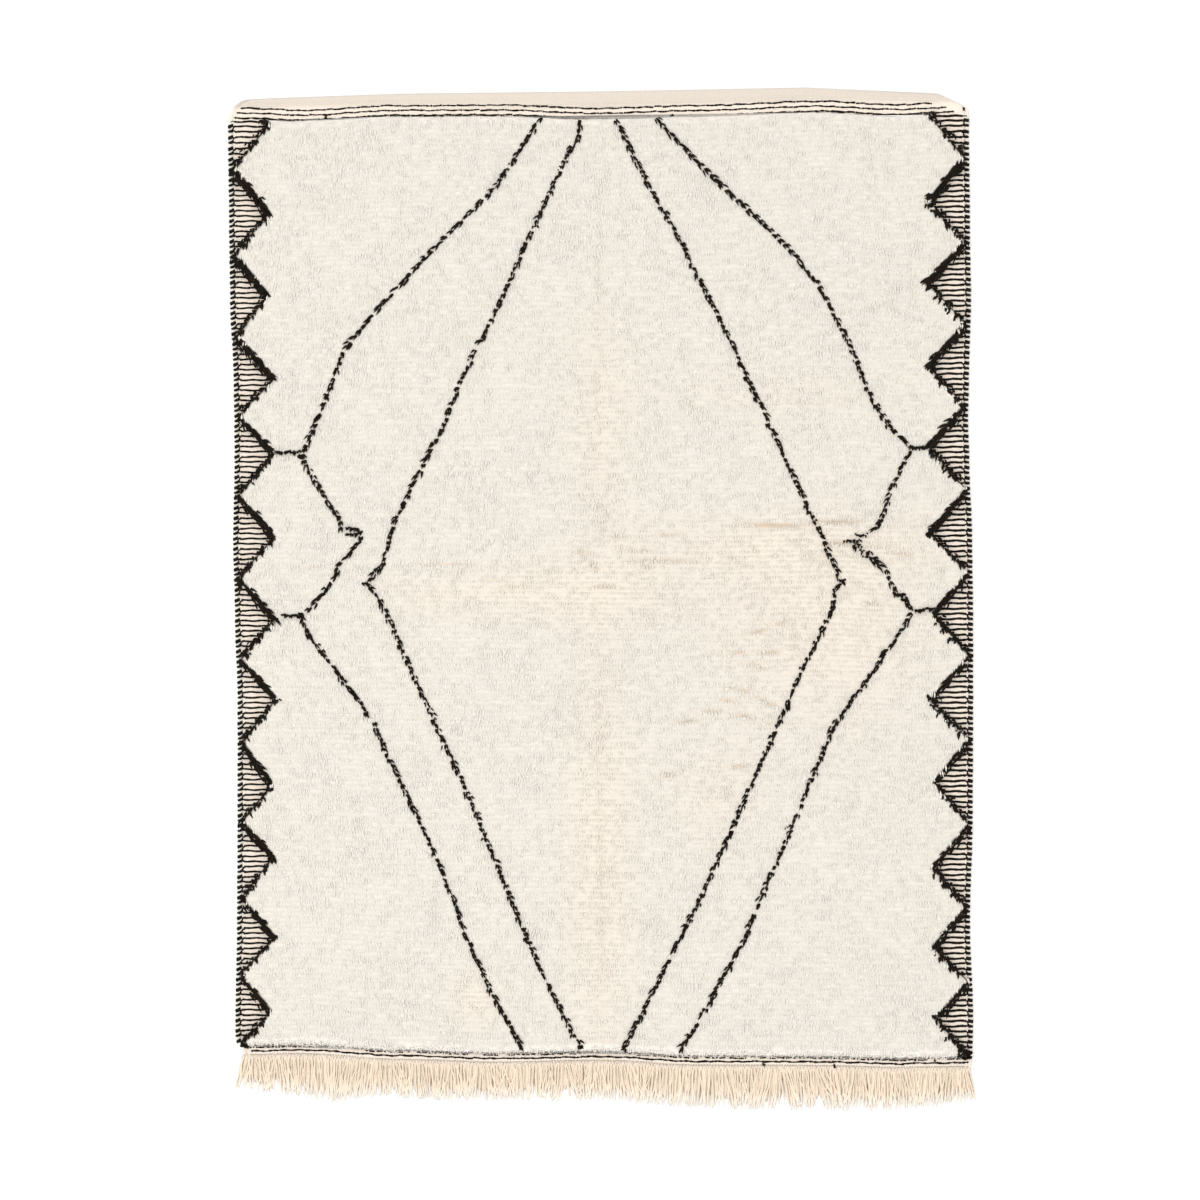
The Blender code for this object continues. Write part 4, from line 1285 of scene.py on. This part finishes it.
def warp_ends(sizes, random):
    """The fringe's plied yarns, in two layers: the upper one is looser, and its yarns cross.

    A yarn's path drifts sideways by drift (share past the edge)^1.3, with the drift partly that of
    its bundle, and fans out at both corners. Its thickness has the plies' ripple, and tapers.
    """
    count = int((FRINGE_TO - FRINGE_FROM) / sizes.strand_pitch)
    root = np.linspace(FRINGE_FROM, FRINGE_TO, count) + random.normal(0, 0.0005, count)
    over = root[::2] + random.normal(0, 0.0012, len(root[::2]))
    loose = np.concatenate([np.zeros(count), np.ones(len(over))])
    root = np.concatenate([root, over])
    count = len(root)
    reach = eased(FRINGE_REACH, "x", "length", root) * random.uniform(0.88, 1.07, count)
    stations = 14
    s = np.concatenate([[0.0], np.linspace(0.025, 1, stations - 1)])[None]
    bundles = random.normal(0, 1, (2, 80))
    group = bundles[0, ((root + 0.8) / 0.024).astype(int)]
    group = group + 0.5 * bundles[1, ((root + 0.81) / 0.041).astype(int)]
    side = np.where(np.arange(count) % 2 == 0, 1.0, -1.0)
    crossing = side * smooth(-0.1, 1.0, np.sin(root * 61 + 2) + 0.5 * np.sin(root * 23)) * loose
    drift = 0.0085 * group * (0.5 + 0.5 * loose) + random.normal(0, 0.0018 + 0.006 * loose)
    drift = (drift + 0.014 * crossing) * smooth(-0.765, -0.725, root)
    drift += 0.01 * smooth(0.73, 0.77, root) - 0.015 * smooth(-0.722, -0.75, root)
    wave = random.uniform(0, 2 * math.pi, (count, 1))
    sway = random.normal(0, 0.002, (count, 1))
    y, start, edge = laid_down(root, -0.62, reach, s)
    past = edge - y
    x = root[:, None] + drift[:, None] * np.clip(past / reach[:, None], 0, 1) ** 1.3
    x = x + sway * np.sin(7 * s + wave) * s + 0.0004 * np.sin(17 * s + 2 * wave)
    x = x + side[:, None] * 0.0018 * np.cos(math.pi * np.clip((start - y) / 0.016, 0, 1))
    radius = sizes.strand / 2
    layer = (random.uniform(0, 1, (count, 1)) + 1.5 * loose[:, None]) * 0.0014
    lifted = 0.3 + 0.7 * np.sin(math.pi * np.clip(s * 1.1, 0, 1))
    z = radius + 0.0002 + layer * lifted + 0.0034 * off_the_cloth(past)
    inner = s[:, 1:-1]
    thickness = (1 - 0.45 * smooth(0.72, 1.0, inner)) * (1 + 0.07 * np.sin(55 * inner + wave))
    radii = radius * random.uniform(0.95, 1.3, (count, 1)) * thickness
    radii = radii * (0.9 + 0.1 * smooth(0.0, 0.012, (start - y)[:, 1:-1]))
    values = {"along": s, "shade": random.uniform(0, 1, (count, 1)), "under": 0.0}
    points, faces, attributes = tubes(np.stack([x, y, z], axis=-1), radii, radii * 0.9, 4, values)
    points[:, 2] = np.maximum(points[:, 2], 0.0001)
    return points, faces, attributes


def combed_locks(random):
    """Flat locks close to the floor, where the yarns above them leave gaps."""
    root = np.arange(FRINGE_FROM + 0.002, FRINGE_TO, 0.0058)
    count, s = len(root), np.linspace(0, 1, 10)[None]
    reach = eased(FRINGE_REACH, "x", "length", root) * random.uniform(0.7, 0.84, count)
    y, _, edge = laid_down(root, -0.45, reach, s)
    x = root[:, None] + random.normal(0, 0.003, (count, 1)) * s
    z = 0.0008 + 0.004 * off_the_cloth(edge - y)
    wide = 0.005 * (1 - 0.6 * smooth(0.7, 1.0, s[:, 1:-1])) + np.zeros((count, 1))
    values = {"along": s, "shade": 0.0, "under": 1.0}
    return tubes(np.stack([x, y, z], axis=-1), wide, 0 * wide + 0.0006, 4, values)


class RUG_OT_fringe(bpy.types.Operator):
    """Lays the loose warp ends on the floor"""

    bl_idname = "rug.fringe"
    bl_label = "Fringe"

    def execute(self, context):
        scene = context.scene
        random = np.random.default_rng(47)
        made = joined([warp_ends(scene.rug_yarns, random), combed_locks(random)])
        piece = add_piece("warp_fringe", made, warp_yarn(scene.rug_colours))
        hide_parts("fringe")
        return {"FINISHED"}


# --- stage --------------------------------------------------------------------------------------
FLOOR_HALF, FLOOR_TOP = 30.0, -0.0004
SKY = 1.08  # strength of the soft light from all round


def add_light(name, size, power, place):
    """A round area light that faces the middle of the rug."""
    data = bpy.data.lights.new(name, "AREA")
    data.shape = "DISK"
    data.size, data.energy = size, power
    light = bpy.data.objects.new(name, data)
    light.location = place
    light.rotation_euler = light.location.to_track_quat("Z", "Y").to_euler()
    bpy.context.scene.collection.objects.link(light)


class RUG_OT_stage(bpy.types.Operator):
    """Sets up the pale floor, the soft light and the camera straight above"""

    bl_idname = "rug.stage"
    bl_label = "Stage"

    def execute(self, context):
        scene = context.scene
        settings = scene.rug_stage
        ways = ((-1, -1), (1, -1), (1, 1), (-1, 1))
        corners = [(x * FLOOR_HALF, y * FLOOR_HALF, FLOOR_TOP) for x, y in ways]
        mesh = bpy.data.meshes.new("floor")
        mesh.from_pydata(corners, [], [(0, 1, 2, 3)])
        mesh.materials.append(plain_floor(settings.floor))
        floor = bpy.data.objects.new("floor", mesh)
        scene.collection.objects.link(floor)

        world = bpy.data.worlds.new("soft_white")
        world.use_nodes = True
        background = world.node_tree.nodes["Background"]
        background.inputs["Color"].default_value = (1.0, 1.0, 1.0, 1.0)
        background.inputs["Strength"].default_value = SKY
        scene.world = world
        add_light("key", size=5.0, power=218.0, place=(-2.5, -1.0, 8.6))
        scene.view_settings.view_transform = "Standard"

        data = bpy.data.cameras.new("camera")
        data.lens = settings.lens
        data.sensor_width = 36.0
        field = PHOTO_SIDE * PIXEL
        pile_height = 0.01
        distance = field * data.lens / data.sensor_width
        camera = bpy.data.objects.new("camera", data)
        camera.location = (PHOTO_CENTRE_X, 0.0, distance + pile_height)
        scene.collection.objects.link(camera)
        scene.camera = camera
        return {"FINISHED"}


class RUG_PT_panel(bpy.types.Panel):
    """Lists the rug's pieces and settings"""

    bl_label = "Rug"
    bl_idname = "RUG_PT_panel"
    bl_space_type = "VIEW_3D"
    bl_region_type = "UI"
    bl_category = "Rug"

    def draw(self, context):
        scene = context.scene
        for group in (scene.rug_pile, scene.rug_yarns, scene.rug_colours, scene.rug_stage):
            box = self.layout.box()
            for name in group.__annotations__:
                box.prop(group, name)
        for operator in OPERATORS:
            self.layout.operator(operator.bl_idname)


GROUPS = {"rug_pile": RugPile, "rug_yarns": RugYarns, "rug_colours": RugColours, "rug_stage": RugStage}
OPERATORS = (
    RUG_OT_pile, RUG_OT_pattern, RUG_OT_wefts, RUG_OT_selvedges, RUG_OT_fringe, RUG_OT_ground, RUG_OT_stage,
)


def register():
    for made in (*GROUPS.values(), *OPERATORS, RUG_PT_panel):
        bpy.utils.register_class(made)
    for name, group in GROUPS.items():
        setattr(bpy.types.Scene, name, bpy.props.PointerProperty(type=group))


def unregister():
    for name in GROUPS:
        delattr(bpy.types.Scene, name)
    for made in (RUG_PT_panel, *reversed(OPERATORS), *reversed(GROUPS.values())):
        bpy.utils.unregister_class(made)


def main():
    register()
    bpy.ops.rug.pile()
    bpy.ops.rug.pattern()
    bpy.ops.rug.wefts()
    bpy.ops.rug.selvedges()
    bpy.ops.rug.fringe()
    bpy.ops.rug.ground()
    bpy.ops.rug.stage()


if __name__ == "__main__":
    main()
